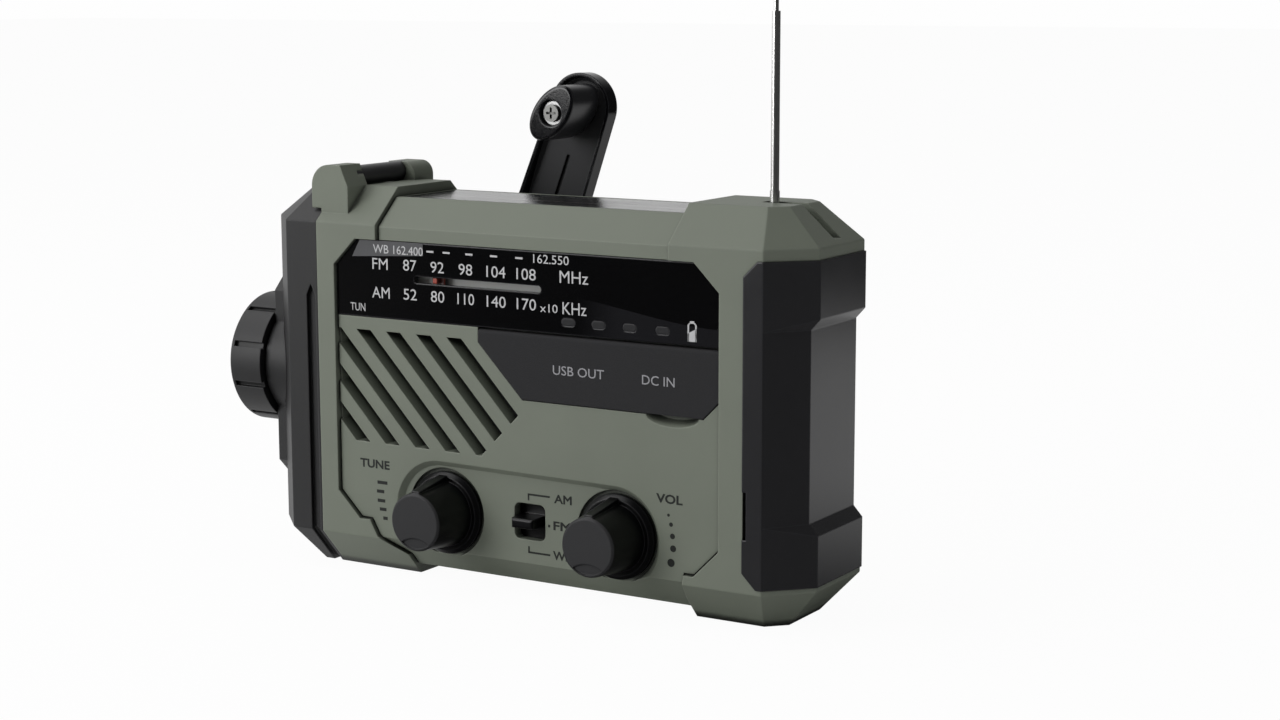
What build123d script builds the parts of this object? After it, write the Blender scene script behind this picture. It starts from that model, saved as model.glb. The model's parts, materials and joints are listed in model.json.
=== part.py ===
from build123d import *
import math
import os

# Emergency radio with a crank, a solar panel, a torch and a rod antenna, in millimetres.
# Across is measured from the middle of the green body, depth from the end frames' front
# face towards the rear, and height from the surface that the radio stands on.

# Whole body
HEIGHT = 85.0
DEPTH = 36.4
BODY_HALF = 59.1
CAP_LENGTH = 16.6
CORNER = 8.2
TOP_BEVEL = 7.6
TOP_INSET = 8.5
BOTTOM_BEVEL = 8.5
BOTTOM_INSET = 7.6
EDGE_ROUND = 0.5

# Walls and the centre section, which lies lower than the end frames
FRAME_WALL = 1.6
CENTRE_STEP = 0.9
SHELL_LOW = 2.4
SHELL_DROP = 2.1
SHELL_WALL = 3.3
FLOOR_WALL = 2.2
FRONT_WALL = 4.4
SEAM_GAP = 0.4
SHELL_REACH = 2.3
SHELL_TONGUE = 3.0
END_WALL = 4.4

# Seams between the centre section and the end frames, in the front view: the stiles are
# the frames' width beside the dial window, and the rest is measured from the window.
LEFT_STILE = 4.6
RIGHT_STILE = 17.9
WINDOW_DROP = 10.8
WINDOW_HIGH = 17.0
TOP_SEAM_LEFT_IN = 11.4
TOP_SEAM_RIGHT_IN = 11.6
FOOT_SEAM_LEFT_IN = 16.5
FOOT_SEAM_RIGHT_IN = 9.0
SEAM_CUT = 5.8
KNEE_LEFT = 12.5
KNEE_RIGHT = 10.4
FOOT_TOP = 5.0
FOOT_STEP = 4.0
FOOT_STEP_UPPER = 8.0
FOOT_STEP_LOWER = 6.0
FOOT_STEP_RIGHT = 1.0

# Dial window, pointer and charge lamps, measured from the window's corners
WINDOW_THICK = 1.2
WINDOW_FIT = 0.15
SLOT_IN = 20.9
SLOT_LONG = 32.4
SLOT_UP = 9.0
SLOT_HIGH = 1.5
SLOT_CLEAR = 0.2
POINTER_IN = 5.3
POINTER_WIDE = 1.0
POINTER_THICK = 0.5
POINTER_GAP = 0.35
POINTER_SET = 0.3
CARRIAGE_WIDE = 3.0
CARRIAGE_HIGH = 7.0
DIAL_PLATE_THICK = 0.8
DIAL_EDGE = 2.0
LAMP_IN_A = 35.8
LAMP_IN_B = 28.5
LAMP_IN_C = 21.1
LAMP_IN_D = 13.4
LAMP_UP = 2.7
LAMP_WIDE = 3.2
LAMP_HIGH = 1.6

# Rubber port cover and the two sockets behind it
COVER_THICK = 2.0
COVER_GAP = 0.2
COVER_IN = 47.3
COVER_HIGH = 14.6
COVER_SLANT = 14.2
COVER_END = 3.2
COVER_CUT = 3.9
COVER_PROUD = 0.2
THUMB_IN = 11.1
THUMB_WIDE = 6.2
THUMB_DEPTH = 2.2
SOCKET_DROP = 7.2
USB_IN = 32.6
USB_WIDE = 13.0
USB_HIGH = 5.8
USB_WALL = 0.5
USB_TONGUE = 1.6
USB_TONGUE_UP = 0.2
SOCKET_SET = 1.0
SOCKET_END = 2.0
DC_IN = 13.8
DC_RADIUS = 4.2
DC_BORE = 2.8
DC_PIN = 1.0

# Loudspeaker and its slanted grille
GRILLE_IN = 0.3
GRILLE_DROP = 2.8
GRILLE_PITCH = 8.0
GRILLE_SLOT = 3.8
GRILLE_LEAN = 0.946
GRILLE_LAST = 17.3
GRILLE_RIGHT = 6.1
GRILLE_SHOULDER = 8.0
CLOTH_THICK = 0.4
CLOTH_EDGE = 1.2
SPEAKER_IN = 20.5
SPEAKER_EDGE = 6.35
SPEAKER_LIP = 2.0
SPEAKER_FLANGE = 2.0
BASKET_DEPTH = 7.2
BASKET_WALL = 1.0
MAGNET_RADIUS = 9.5
MAGNET_THICK = 5.0
CONE_THICK = 0.6
CONE_DEPTH = 6.0

# Control panel: two knobs in wells and the band switch between them
TUNE_IN = 27.7
VOLUME_IN = 24.9
KNOB_Z = 16.0
PANEL_RADIUS = 10.9
PANEL_ROOM = 11.4
PANEL_SHIFT = 1.0
PANEL_FLOOR = 2.1
WELL_RADIUS = 9.8
WELL_FLOOR = 2.9
SKIRT_RADIUS = 9.0
SKIRT_THICK = 1.6
SKIRT_EDGE = 0.9
GRIP_RADIUS = 7.2
FACE_RADIUS = 6.2
FACE_EDGE = 0.4
FACE_STEP = 0.4
FACE_STEP_DROP = 9.6
RIDGE_RADIUS = 8.4
RIDGE_WIDE = 2.0
RIDGE_SET = 0.5
KNOB_LENGTH = 10.5
KNOB_LIFT = 0.3
KNOB_ENTRY = 1.0
SPINDLE_RADIUS = 1.5
SPINDLE_CLEAR = 0.1
SPINDLE_IN_KNOB = 6.0
CONTROL_DEPTH = 8.6
SPINDLE_SHORT = 3.0
CAPACITOR_WIDE = 16.0
CAPACITOR_HIGH = 12.2
POT_RADIUS = 6.0
SWITCH_Z = 16.5
SWITCH_SIZE = 7.8
SWITCH_ROUND = 1.4
SWITCH_THROW = 2.4
NUB_SHIFT = 0.4
NUB_WIDE = 5.4
NUB_HIGH = 2.2
NUB_PROUD = 2.6
NUB_EDGE = 0.6
SLIDER_HALF = 5.2
SLIDER_WIDE = 10.0
SLIDER_THICK = 0.8
SLIDER_GAP = 0.2
SWITCH_BODY_WIDE = 13.0
SWITCH_BODY_HALF = 7.9
SWITCH_WALL = 0.9

# Solar panel in the top
SOLAR_LEFT_IN = 1.3
SOLAR_RIGHT_IN = 1.2
SOLAR_FRONT = 8.8
SOLAR_REAR = 27.6
SOLAR_THICK = 0.9
CELL_THICK = 0.5
SOLAR_FIT = 0.1

# Black end cap and the torch on it
CAP_WALL = 2.5
GROOVE_OUT = 1.9
GROOVE_WIDE = 2.4
GROOVE_DROP = 21.4
GROOVE_DEEP = 0.9
COLLAR_THICK = 3.0
COLLAR_UNDER = 27.3
COLLAR_OVER = 21.7
COLLAR_DEPTH = 18.4
COLLAR_CUT = 5.0
COLLAR_BOSS = 13.2
TORCH_UP = 0.8
HEAD_RADIUS = 14.8
HEAD_LENGTH = 9.2
HEAD_GAP = 0.3
SPIGOT_RADIUS = 11.8
SPIGOT_LENGTH = 6.0
SPIGOT_WALL = 1.5
HEAD_FIT = 0.06
LENS_RADIUS = 12.9
LENS_THICK = 1.5
LENS_SET = 0.4
RIM_WIDE = 1.4
HEAD_GROOVES = 10
GRIP_SLOT_WIDE = 1.3
GRIP_SLOT_DEEP = 0.8
REFLECTOR_WALL = 0.8
REFLECTOR_DEPTH = 7.4
REFLECTOR_FIT = 0.3
LED_RADIUS = 2.4
LED_DOME = 3.0
LED_CLEAR = 0.4
LED_BOARD_THICK = 1.2
LED_BOARD_RADIUS = 10.2
TORCH_WIRE_HOLE = 5.0

# Lanyard post: two horns with a bar between them
BAR_IN = 4.1
BAR_UP = 1.9
BAR_RADIUS = 2.2
BAR_SINK = 2.0
HORN_THICK = 7.0
HORN_FRONT = 2.0
HORN_REAR = 24.4
HORN_UP = 4.6
REAR_HORN_UP = 4.0
HORN_FLAT = 2.0
FRONT_HORN_LEFT = 6.6
FRONT_HORN_RIGHT = 3.2
REAR_HORN_LEFT = 2.6
REAR_HORN_RIGHT = 4.6
HORN_ROUND = 4.6
REAR_HORN_ROUND = 3.0
HORN_LIFT = 0.7
STRAP_DIP = 1.1
STRAP_EDGE = 1.0
STRAP_RAMP = 2.0

# Black bumper let into the right end
BUMPER_IN = 12.4
BUMPER_LOW = 9.6
BUMPER_DROP = 9.9
BUMPER_CUT = 3.1
BUMPER_PROUD = 0.3
BUMPER_SEAT = 2.6
BUMPER_SCOOP = 2.0
SCOOP_LOW = 20.1
SCOOP_DROP = 21.5
LEDGE = 2.2
FINGER_SLOT_LOW = 19.5
FINGER_SLOT_TOP = 29.2
FINGER_SLOT_WIDE = 0.9
FINGER_SLOT_DEEP = 1.2

# Rod antenna on a tilting knuckle
ANTENNA_IN = 15.3
ANTENNA_PIVOT_DROP = 4.4
ANTENNA_SLOT = 3.0
ANTENNA_BLOCK_IN = 3.6
ANTENNA_BLOCK_DROP = 11.0
ANTENNA_BLOCK_DEPTH = 9.0
BLOCK_CLEAR = 0.3
KNUCKLE_THICK = 2.6
KNUCKLE_RADIUS = 1.9
KNUCKLE_UP = 2.3
NECK_RADIUS = 1.0
PIVOT_RADIUS = 0.8
PIVOT_SHORT = 1.0
LOWER_TUBE_RADIUS = 0.87
LOWER_TUBE_UP = 38.0
LOWER_TUBE_END = 1.0
UPPER_ROD_RADIUS = 0.5
UPPER_ROD_SHOWN = 34.0
UPPER_ROD_HIDDEN = 3.0
ANTENNA_BORE = 0.6
TIP_RADIUS = 1.1
TIP_LENGTH = 3.0
TIP_ROUND = 0.7

# Crank on the rear
CRANK_IN = 16.6
CRANK_DROP = 26.1
CRANK_LEAN = 20.8
CRANK_LENGTH = 44.0
CRANK_STAND = 13.1
ARM_THICK = 3.6
ARM_WIDE = 17.4
ARM_START = 5.5
ARM_TIP_RADIUS = 7.7
ARM_TIP_OVER = 0.9
TONGUE_WIDE = 9.0
TONGUE_GAP = 0.3
CHANNEL_RIM = 0.7
CHANNEL_DEEP = 2.0
CHANNEL_SLANT = 30.0
KNOB_BOSS = 3.4
ARM_GROOVE_WIDE = 0.9
ARM_GROOVE_DEEP = 0.6
EAR_THICK = 3.0
PIN_RADIUS = 0.9
HUB_RADIUS = 11.0
HUB_WAIST = 8.6
HUB_RIM = 2.4
HUB_GAP = 0.6
HUB_RECESS = 1.0
HUB_FLOAT = 0.3
AXLE_RADIUS = 2.5
AXLE_FIT = 0.05
AXLE_END = 0.4
AXLE_BOSS = 5.0
CRANK_KNOB_LONG = 7.3
CRANK_KNOB_SHORT = 4.4
CRANK_KNOB_TURN = 21.0
CRANK_KNOB_ROUND = 0.7
CRANK_KNOB_LENGTH = 11.3
CRANK_KNOB_GAP = 0.3
KNOB_POCKET_RADIUS = 3.0
KNOB_POCKET_DEEP = 1.7
KNOB_SCREW_RADIUS = 1.5
WASHER_RADIUS = 2.6
WASHER_THICK = 0.6
SCREW_HEAD_RADIUS = 1.9
SCREW_HEAD_THICK = 0.9

# Gear train from the crank to the generator
MODULE = 0.8
CRANK_TEETH = 40
WHEEL_TEETH = 36
PINION_TEETH = 12
BACKLASH = 0.16
GEAR_DEEP = 6.1
GEAR_THICK = 4.0
WHEEL_DEEP = 11.1
WHEEL_THICK = 3.0
TRAIN_TURN = -5.0
GENERATOR_TURN = -20.0
PLATE_DEEP = 12.8
PLATE_THICK = 1.2
PLATE_EDGE = 3.5
PLATE_POST = 2.2
PLATE_BOSS = 5.0
GEAR_AXLE_RADIUS = 1.25
AXLE_SEAT = 1.0
GENERATOR_RADIUS = 11.0
GENERATOR_DEPTH = 5.5
SHAFT_RADIUS = 1.0
SHAFT_SEAT = 2.0
SHAFT_CLEAR = 0.3
SHAFT_END = 0.5
RUN_FIT = 0.05

# Circuit board, battery tray, battery cells and door
BOARD_FRONT = 13.0
BOARD_THICK = 1.6
BOARD_OUT = 1.8
BOARD_LONG = 53.5
BOARD_LOW = 12.0
BOARD_DROP = 23.0
TRAY_IN = 5.4
TRAY_LONG = 47.2
TRAY_LOW = 9.4
TRAY_DEEP = 11.6
TRAY_WALL = 1.0
CELL_RADIUS = 5.2
CELL_LENGTH = 44.5
CELL_PITCH = 10.6
CELL_COUNT = 2
CELL_FIT = 0.1
DOOR_THICK = 1.6
DOOR_FIT = 0.2
DOOR_LEDGE = 1.4
DOOR_NOTCH = 3.0
DOOR_NOTCH_WIDE = 14.0
DOOR_NOTCH_DROP = 5.0
DOOR_NOTCH_DEEP = 0.6

# Case screws, driven from the rear into posts
SCREW_IN = 5.0
SCREW_LOW = 21.0
TOP_SCREW_IN = 33.2
TOP_SCREW_DROP = 10.0
RIGHT_SCREW_IN = 3.2
RIGHT_SCREW_DROP = 9.2
POST_RADIUS = 3.0
POST_ROOT = 0.2
POST_CLEAR = 0.3
SCREW_RADIUS = 1.1
SCREW_START = 2.0
HEAD_HOLE = 2.4
SCREW_HEAD_DEEP = 1.4
HEAD_SET = 0.2
SCREW_LENGTH = 24.0

# Worked out from the sizes above: the body
MIDDLE = DEPTH / 2
PARTING = DEPTH / 2
SHELL_HIGH = HEIGHT - SHELL_DROP
CENTRE_FACE = CENTRE_STEP
REAR_FACE = DEPTH - CENTRE_STEP
REAR_INNER = DEPTH - SHELL_WALL
CAP_END = BODY_HALF + CAP_LENGTH
WINDOW_LEFT = LEFT_STILE - BODY_HALF
WINDOW_RIGHT = BODY_HALF - RIGHT_STILE
WINDOW_TOP = HEIGHT - WINDOW_DROP
WINDOW_LOW = WINDOW_TOP - WINDOW_HIGH
TOP_SEAM_LEFT = WINDOW_LEFT + TOP_SEAM_LEFT_IN
TOP_SEAM_RIGHT = WINDOW_RIGHT - TOP_SEAM_RIGHT_IN
FOOT_SEAM_LEFT = WINDOW_LEFT + FOOT_SEAM_LEFT_IN
FOOT_SEAM_RIGHT = WINDOW_RIGHT - FOOT_SEAM_RIGHT_IN
SHELL_RIGHT = WINDOW_RIGHT + SHELL_REACH
SOLAR_LEFT = TOP_SEAM_LEFT + SOLAR_LEFT_IN
SOLAR_RIGHT = TOP_SEAM_RIGHT - SOLAR_RIGHT_IN

# Worked out: dial, port cover and sockets
WINDOW_BACK = CENTRE_FACE + WINDOW_THICK
SLOT_LEFT = WINDOW_LEFT + SLOT_IN
SLOT_RIGHT = SLOT_LEFT + SLOT_LONG
SLOT_Z = WINDOW_LOW + SLOT_UP
POINTER_X = SLOT_LEFT + POINTER_IN
LAMP_X = [WINDOW_RIGHT - lamp_in for lamp_in in (LAMP_IN_A, LAMP_IN_B, LAMP_IN_C, LAMP_IN_D)]
LAMP_Z = WINDOW_LOW + LAMP_UP
COVER_LEFT = WINDOW_RIGHT - COVER_IN
COVER_LOW = WINDOW_LOW - COVER_HIGH
COVER_FRONT = CENTRE_FACE - COVER_PROUD
COVER_BACK = COVER_FRONT + COVER_THICK
COVER_FLOOR = COVER_BACK + COVER_GAP
COVER_TOP = WINDOW_LOW - COVER_GAP
HINGE_Z = COVER_TOP - COVER_THICK / 2
THUMB_X = WINDOW_RIGHT - THUMB_IN
SOCKET_Z = WINDOW_LOW - SOCKET_DROP
USB_X = WINDOW_RIGHT - USB_IN
DC_X = WINDOW_RIGHT - DC_IN

# Worked out: controls, grille and loudspeaker
TUNE_X = WINDOW_LEFT + TUNE_IN
VOLUME_X = WINDOW_RIGHT - VOLUME_IN
SWITCH_X = (TUNE_X + VOLUME_X) / 2
KNOB_BACK = WELL_FLOOR - KNOB_LIFT
KNOB_FRONT = KNOB_ENTRY - KNOB_LENGTH
SLIDER_FRONT = FRONT_WALL + SLIDER_GAP
GRILLE_LEFT = WINDOW_LEFT + GRILLE_IN
GRILLE_TOP = WINDOW_LOW - GRILLE_DROP
GRILLE_LOW = KNOB_Z + PANEL_RADIUS + GRILLE_DROP
GRILLE_SHIFT = GRILLE_LEAN * (GRILLE_TOP - GRILLE_LOW)
GRILLE_START = COVER_LEFT - GRILLE_LAST
GRILLE_COUNT = int((GRILLE_START + GRILLE_SHIFT - GRILLE_LEFT) / GRILLE_PITCH) + 1
SPEAKER_X = WINDOW_LEFT + SPEAKER_IN
SPEAKER_Z = (GRILLE_TOP + GRILLE_LOW) / 2
SPEAKER_RADIUS = (GRILLE_TOP - GRILLE_LOW) / 2 + SPEAKER_EDGE

# Worked out: end cap, torch, lanyard post, bumper and antenna
GROOVE_X = -BODY_HALF - GROOVE_OUT
GROOVE_TOP = HEIGHT - GROOVE_DROP
TORCH_Z = HEIGHT / 2 + TORCH_UP
COLLAR_LOW = TORCH_Z - COLLAR_UNDER
COLLAR_HIGH = TORCH_Z + COLLAR_OVER
COLLAR_FACE = -(CAP_END + COLLAR_THICK)
HEAD_BACK = COLLAR_FACE - HEAD_GAP
HEAD_RIM = HEAD_BACK - HEAD_LENGTH
BAR_X = BAR_IN - BODY_HALF
BAR_Z = HEIGHT + BAR_UP
BUMPER_LEFT = BODY_HALF - BUMPER_IN
BUMPER_TOP = HEIGHT - BUMPER_DROP
SCOOP_TOP = HEIGHT - SCOOP_DROP
ANTENNA_X = BODY_HALF - ANTENNA_IN
ANTENNA_PIVOT_Z = HEIGHT - ANTENNA_PIVOT_DROP
ANTENNA_BLOCK_LEFT = ANTENNA_X - ANTENNA_BLOCK_IN
ANTENNA_BLOCK_LOW = HEIGHT - ANTENNA_BLOCK_DROP
KNUCKLE_TOP = HEIGHT + KNUCKLE_UP
LOWER_TUBE_TOP = HEIGHT + LOWER_TUBE_UP

# Worked out: crank and gear train
CRANK_X = WINDOW_LEFT + CRANK_IN
CRANK_Z = HEIGHT - CRANK_DROP
LEAN = math.radians(CRANK_LEAN)
ARM_FRONT = REAR_FACE + CRANK_STAND
ARM_REAR = ARM_FRONT + ARM_THICK
PIN_Y = ARM_FRONT + ARM_THICK / 2
EYE_RADIUS = ARM_THICK / 2
HUB_TOP = ARM_FRONT - HUB_GAP
HUB_FLOOR = REAR_FACE - HUB_RECESS
KNOB_PIN_BACK = ARM_FRONT - CRANK_KNOB_GAP
CRANK_KNOB_FRONT = KNOB_PIN_BACK - CRANK_KNOB_LENGTH
WASHER_BACK = CRANK_KNOB_FRONT + KNOB_POCKET_DEEP
GEAR_FRONT = REAR_INNER - GEAR_DEEP
GEAR_REAR = GEAR_FRONT + GEAR_THICK
WHEEL_FRONT = REAR_INNER - WHEEL_DEEP
WHEEL_REAR = WHEEL_FRONT + WHEEL_THICK
PLATE_FRONT = REAR_INNER - PLATE_DEEP
PLATE_REAR = PLATE_FRONT + PLATE_THICK
GEAR_ARM = MODULE * (CRANK_TEETH + PINION_TEETH) / 2
GENERATOR_ARM = MODULE * (WHEEL_TEETH + PINION_TEETH) / 2
WHEEL_X = CRANK_X + GEAR_ARM * math.cos(math.radians(TRAIN_TURN))
WHEEL_Z = CRANK_Z + GEAR_ARM * math.sin(math.radians(TRAIN_TURN))
GENERATOR_X = WHEEL_X + GENERATOR_ARM * math.cos(math.radians(GENERATOR_TURN))
GENERATOR_Z = WHEEL_Z + GENERATOR_ARM * math.sin(math.radians(GENERATOR_TURN))
PLATE_POSTS = (
    (CRANK_X - 0.77 * GEAR_ARM, CRANK_Z - 0.76 * GEAR_ARM),
    (CRANK_X + 0.86 * GEAR_ARM, CRANK_Z - 0.98 * GEAR_ARM),
    (CRANK_X + 2.11 * GEAR_ARM, CRANK_Z + 0.34 * GEAR_ARM),
)

# Worked out: board, battery and screws
BOARD_RIGHT = WINDOW_RIGHT + BOARD_OUT
BOARD_LEFT = BOARD_RIGHT - BOARD_LONG
BOARD_TOP = HEIGHT - BOARD_DROP
TRAY_RIGHT = WINDOW_RIGHT - TRAY_IN
TRAY_LEFT = TRAY_RIGHT - TRAY_LONG
TRAY_FRONT = REAR_INNER - TRAY_DEEP
TRAY_TOP = TRAY_LOW + 2 * TRAY_WALL + CELL_PITCH * CELL_COUNT
CELL_Y = TRAY_FRONT + TRAY_WALL + CELL_RADIUS + CELL_FIT
DOOR_FRONT = REAR_FACE - DOOR_THICK
DOOR_LEFT = TRAY_LEFT + TRAY_WALL
DOOR_RIGHT = TRAY_RIGHT - TRAY_WALL
DOOR_LOW = TRAY_LOW + TRAY_WALL
DOOR_TOP = TRAY_TOP - TRAY_WALL
CELL_X = (DOOR_LEFT + DOOR_RIGHT) / 2
SCREW_PLACES = (
    (WINDOW_LEFT + SCREW_IN, SCREW_LOW),
    (WINDOW_RIGHT - TOP_SCREW_IN, HEIGHT - TOP_SCREW_DROP),
    (WINDOW_RIGHT - RIGHT_SCREW_IN, WINDOW_LOW - RIGHT_SCREW_DROP),
)

# The whole radio stands on the middle of its box, so every piece shifts by these.
BODY_X = (-HEAD_RIM - BODY_HALF - BUMPER_PROUD) / 2
FRONT_Y = -(KNOB_FRONT + ARM_REAR) / 2


def front(depth):
    """Plane facing the viewer at a depth: its x runs across and its y runs up."""
    return Plane(origin=(BODY_X, FRONT_Y + depth, 0), x_dir=(1, 0, 0), z_dir=(0, -1, 0))


def level(height):
    """Level plane at a height: its x runs across and its y runs to the rear."""
    return Plane(origin=(BODY_X, FRONT_Y, height), x_dir=(1, 0, 0), z_dir=(0, 0, 1))


def side(across):
    """Plane facing right at a place across: its x runs to the rear and its y runs up."""
    return Plane(origin=(BODY_X + across, FRONT_Y, 0), x_dir=(0, 1, 0), z_dir=(1, 0, 0))


def crank_front(depth):
    """Plane facing the viewer on the crank's axle, turned so that its y runs up the arm."""
    return Plane(
        origin=(BODY_X + CRANK_X, FRONT_Y + depth, CRANK_Z),
        x_dir=(math.cos(LEAN), 0, -math.sin(LEAN)),
        z_dir=(0, -1, 0),
    )


def crank_side(offset):
    """Plane across the hinge pin: its x runs up the arm and its y runs to the viewer."""
    return Plane(
        origin=(BODY_X + CRANK_X + offset * math.cos(LEAN), FRONT_Y, CRANK_Z - offset * math.sin(LEAN)),
        x_dir=(math.sin(LEAN), 0, math.cos(LEAN)),
        z_dir=(math.cos(LEAN), 0, -math.sin(LEAN)),
    )


def depth_axis(across, height):
    """Axis that runs to the rear at a place across and a height."""
    return Axis(origin=(BODY_X + across, FRONT_Y, height), direction=(0, 1, 0))


def write(piece, name):
    """Label a finished piece and write it to its own file."""
    piece.part.label = name
    export_step(piece.part, f"parts/{name}.step")


def block(left, right, near, far, low, high, mode=Mode.ADD):
    """Square block between two places across, two depths and two heights."""
    with BuildSketch(front(far)) as face:
        with Locations(((left + right) / 2, (low + high) / 2)):
            Rectangle(right - left, high - low)
    extrude(face.sketch, amount=far - near, mode=mode)


def disc(across, height, radius, near, far, mode=Mode.ADD):
    """Round rod along the depth between two depths."""
    with BuildSketch(front(far)) as face:
        with Locations((across, height)):
            Circle(radius)
    extrude(face.sketch, amount=far - near, mode=mode)


def side_disc(radius, left, right, mode=Mode.ADD):
    """Round rod on the torch's axis between two places across."""
    with BuildSketch(side(left)) as face:
        with Locations((MIDDLE, TORCH_Z)):
            Circle(radius)
    extrude(face.sketch, amount=right - left, mode=mode)


def body_form(wall, low, high):
    """The bevelled body with every face moved inwards by a wall, flat at a low and a high level."""
    foot = BOTTOM_INSET * BOTTOM_BEVEL + wall * math.hypot(BOTTOM_INSET, BOTTOM_BEVEL)
    crown = TOP_INSET * TOP_BEVEL + wall * math.hypot(TOP_INSET, TOP_BEVEL)
    rings = (
        (low, (foot - low * BOTTOM_INSET) / BOTTOM_BEVEL),
        ((foot - wall * BOTTOM_BEVEL) / BOTTOM_INSET, wall),
        (HEIGHT - (crown - wall * TOP_BEVEL) / TOP_INSET, wall),
        (high, (crown - (HEIGHT - high) * TOP_INSET) / TOP_BEVEL),
    )
    faces = []
    for height, inset in rings:
        with BuildSketch(level(height)) as face:
            with Locations((-CAP_LENGTH / 2, MIDDLE)):
                Rectangle(CAP_END + BODY_HALF - 2 * inset, DEPTH - 2 * inset)
            chamfer(vertices(), CORNER - inset * (2 - math.sqrt(2)))
        faces.append(face.sketch)
    loft(faces, ruled=True)


def left_seam():
    """Edge of the left frame in the front view, from the top down."""
    return (
        (TOP_SEAM_LEFT, HEIGHT + 1),
        (TOP_SEAM_LEFT, WINDOW_TOP),
        (WINDOW_LEFT + SEAM_CUT, WINDOW_TOP),
        (WINDOW_LEFT, WINDOW_TOP - SEAM_CUT),
        (WINDOW_LEFT, KNEE_LEFT + SEAM_CUT),
        (WINDOW_LEFT + SEAM_CUT, KNEE_LEFT),
        (FOOT_SEAM_LEFT - FOOT_STEP_UPPER, KNEE_LEFT),
        (FOOT_SEAM_LEFT - FOOT_STEP_LOWER, FOOT_TOP + FOOT_STEP),
        (FOOT_SEAM_LEFT, FOOT_TOP),
        (FOOT_SEAM_LEFT, -1),
    )


def right_seam():
    """Edge of the right frame in the front view, from the top down."""
    return (
        (TOP_SEAM_RIGHT, HEIGHT + 1),
        (TOP_SEAM_RIGHT, WINDOW_TOP),
        (WINDOW_RIGHT - SEAM_CUT, WINDOW_TOP),
        (WINDOW_RIGHT, WINDOW_TOP - SEAM_CUT),
        (WINDOW_RIGHT, KNEE_RIGHT + SEAM_CUT),
        (WINDOW_RIGHT - SEAM_CUT, KNEE_RIGHT),
        (FOOT_SEAM_RIGHT + FOOT_STEP_RIGHT, KNEE_RIGHT),
        (FOOT_SEAM_RIGHT, FOOT_TOP),
        (FOOT_SEAM_RIGHT, -1),
    )


def through(*points, mode=Mode.INTERSECT):
    """Keep, or cut away, what lies inside an outline of the front view, through the whole depth."""
    with BuildSketch(front(DEPTH + 20)) as face:
        Polygon(*points, align=None)
    extrude(face.sketch, amount=DEPTH + 40, mode=mode)


def gear_outline(teeth, turn=0):
    """Involute gear of the shared module on the sketch's plane, turned by an angle in degrees."""
    pitch = MODULE * teeth / 2
    base = pitch * math.cos(math.radians(20))
    root = pitch - 1.25 * MODULE
    tip = pitch + 0.9 * MODULE

    def half_angle(radius):
        """Half the angle that a tooth takes up at a radius."""
        roll = math.acos(min(1, base / max(radius, base)))
        unroll = math.tan(math.radians(20)) - math.radians(20)
        lost = BACKLASH / (2 * pitch)
        return math.pi / (2 * teeth) - lost + unroll - (math.tan(roll) - roll)

    flank = [(root, half_angle(root)), (max(base, root), half_angle(base)), (pitch, half_angle(pitch))]
    flank.append((tip, half_angle(tip)))
    points = []
    for tooth in range(teeth):
        middle = math.radians(turn) + 2 * math.pi * tooth / teeth
        for radius, half in flank:
            points.append((radius * math.cos(middle - half), radius * math.sin(middle - half)))
        for radius, half in reversed(flank):
            points.append((radius * math.cos(middle + half), radius * math.sin(middle + half)))
    Polygon(*points, align=None)


os.makedirs("parts", exist_ok=True)

# Forms shared by the shells and the frames

with BuildPart() as outer_form:
    body_form(0, 0, HEIGHT)
    fillet(edges(), EDGE_ROUND)

with BuildPart() as under_form:
    body_form(FRAME_WALL, SHELL_LOW, SHELL_HIGH)

with BuildPart() as centre_form:
    body_form(CENTRE_STEP, SHELL_LOW, SHELL_HIGH)
    with BuildSketch(front(DEPTH + 1)):
        Polygon(*left_seam(), *reversed(right_seam()), align=None)
        offset(amount=-SEAM_GAP, kind=Kind.INTERSECTION)
    extrude(amount=DEPTH + 2, mode=Mode.INTERSECT)

with BuildPart() as cavity:
    body_form(SHELL_WALL, SHELL_LOW + FLOOR_WALL, SHELL_HIGH - FLOOR_WALL)
    split(bisect_by=front(FRONT_WALL), keep=Keep.BOTTOM)

with BuildPart() as shell_tube:
    add(under_form.part)
    add(centre_form.part)
    add(cavity.part, mode=Mode.SUBTRACT)
    block(-BODY_HALF - SHELL_TONGUE, SHELL_RIGHT, -1, DEPTH + 1, -1, HEIGHT + 1, mode=Mode.INTERSECT)
    block(
        ANTENNA_BLOCK_LEFT - BLOCK_CLEAR,
        SHELL_RIGHT + 1,
        MIDDLE - ANTENNA_BLOCK_DEPTH / 2 - BLOCK_CLEAR,
        MIDDLE + ANTENNA_BLOCK_DEPTH / 2 + BLOCK_CLEAR,
        ANTENNA_BLOCK_LOW - BLOCK_CLEAR,
        HEIGHT,
        mode=Mode.SUBTRACT,
    )
    block(
        SOLAR_LEFT - SOLAR_FIT,
        SOLAR_RIGHT + SOLAR_FIT,
        SOLAR_FRONT - SOLAR_FIT,
        SOLAR_REAR + SOLAR_FIT,
        SHELL_HIGH - SOLAR_THICK - CELL_THICK,
        HEIGHT,
        mode=Mode.SUBTRACT,
    )


def window_outline(gap):
    """Dial window between the frames' cut corners, smaller all round by a gap."""
    Polygon(
        (WINDOW_LEFT + SEAM_CUT, WINDOW_TOP),
        (WINDOW_LEFT, WINDOW_TOP - SEAM_CUT),
        (WINDOW_LEFT, WINDOW_LOW),
        (WINDOW_RIGHT, WINDOW_LOW),
        (WINDOW_RIGHT, WINDOW_TOP - SEAM_CUT),
        (WINDOW_RIGHT - SEAM_CUT, WINDOW_TOP),
        align=None,
    )
    offset(amount=-gap, kind=Kind.INTERSECTION)


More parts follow.
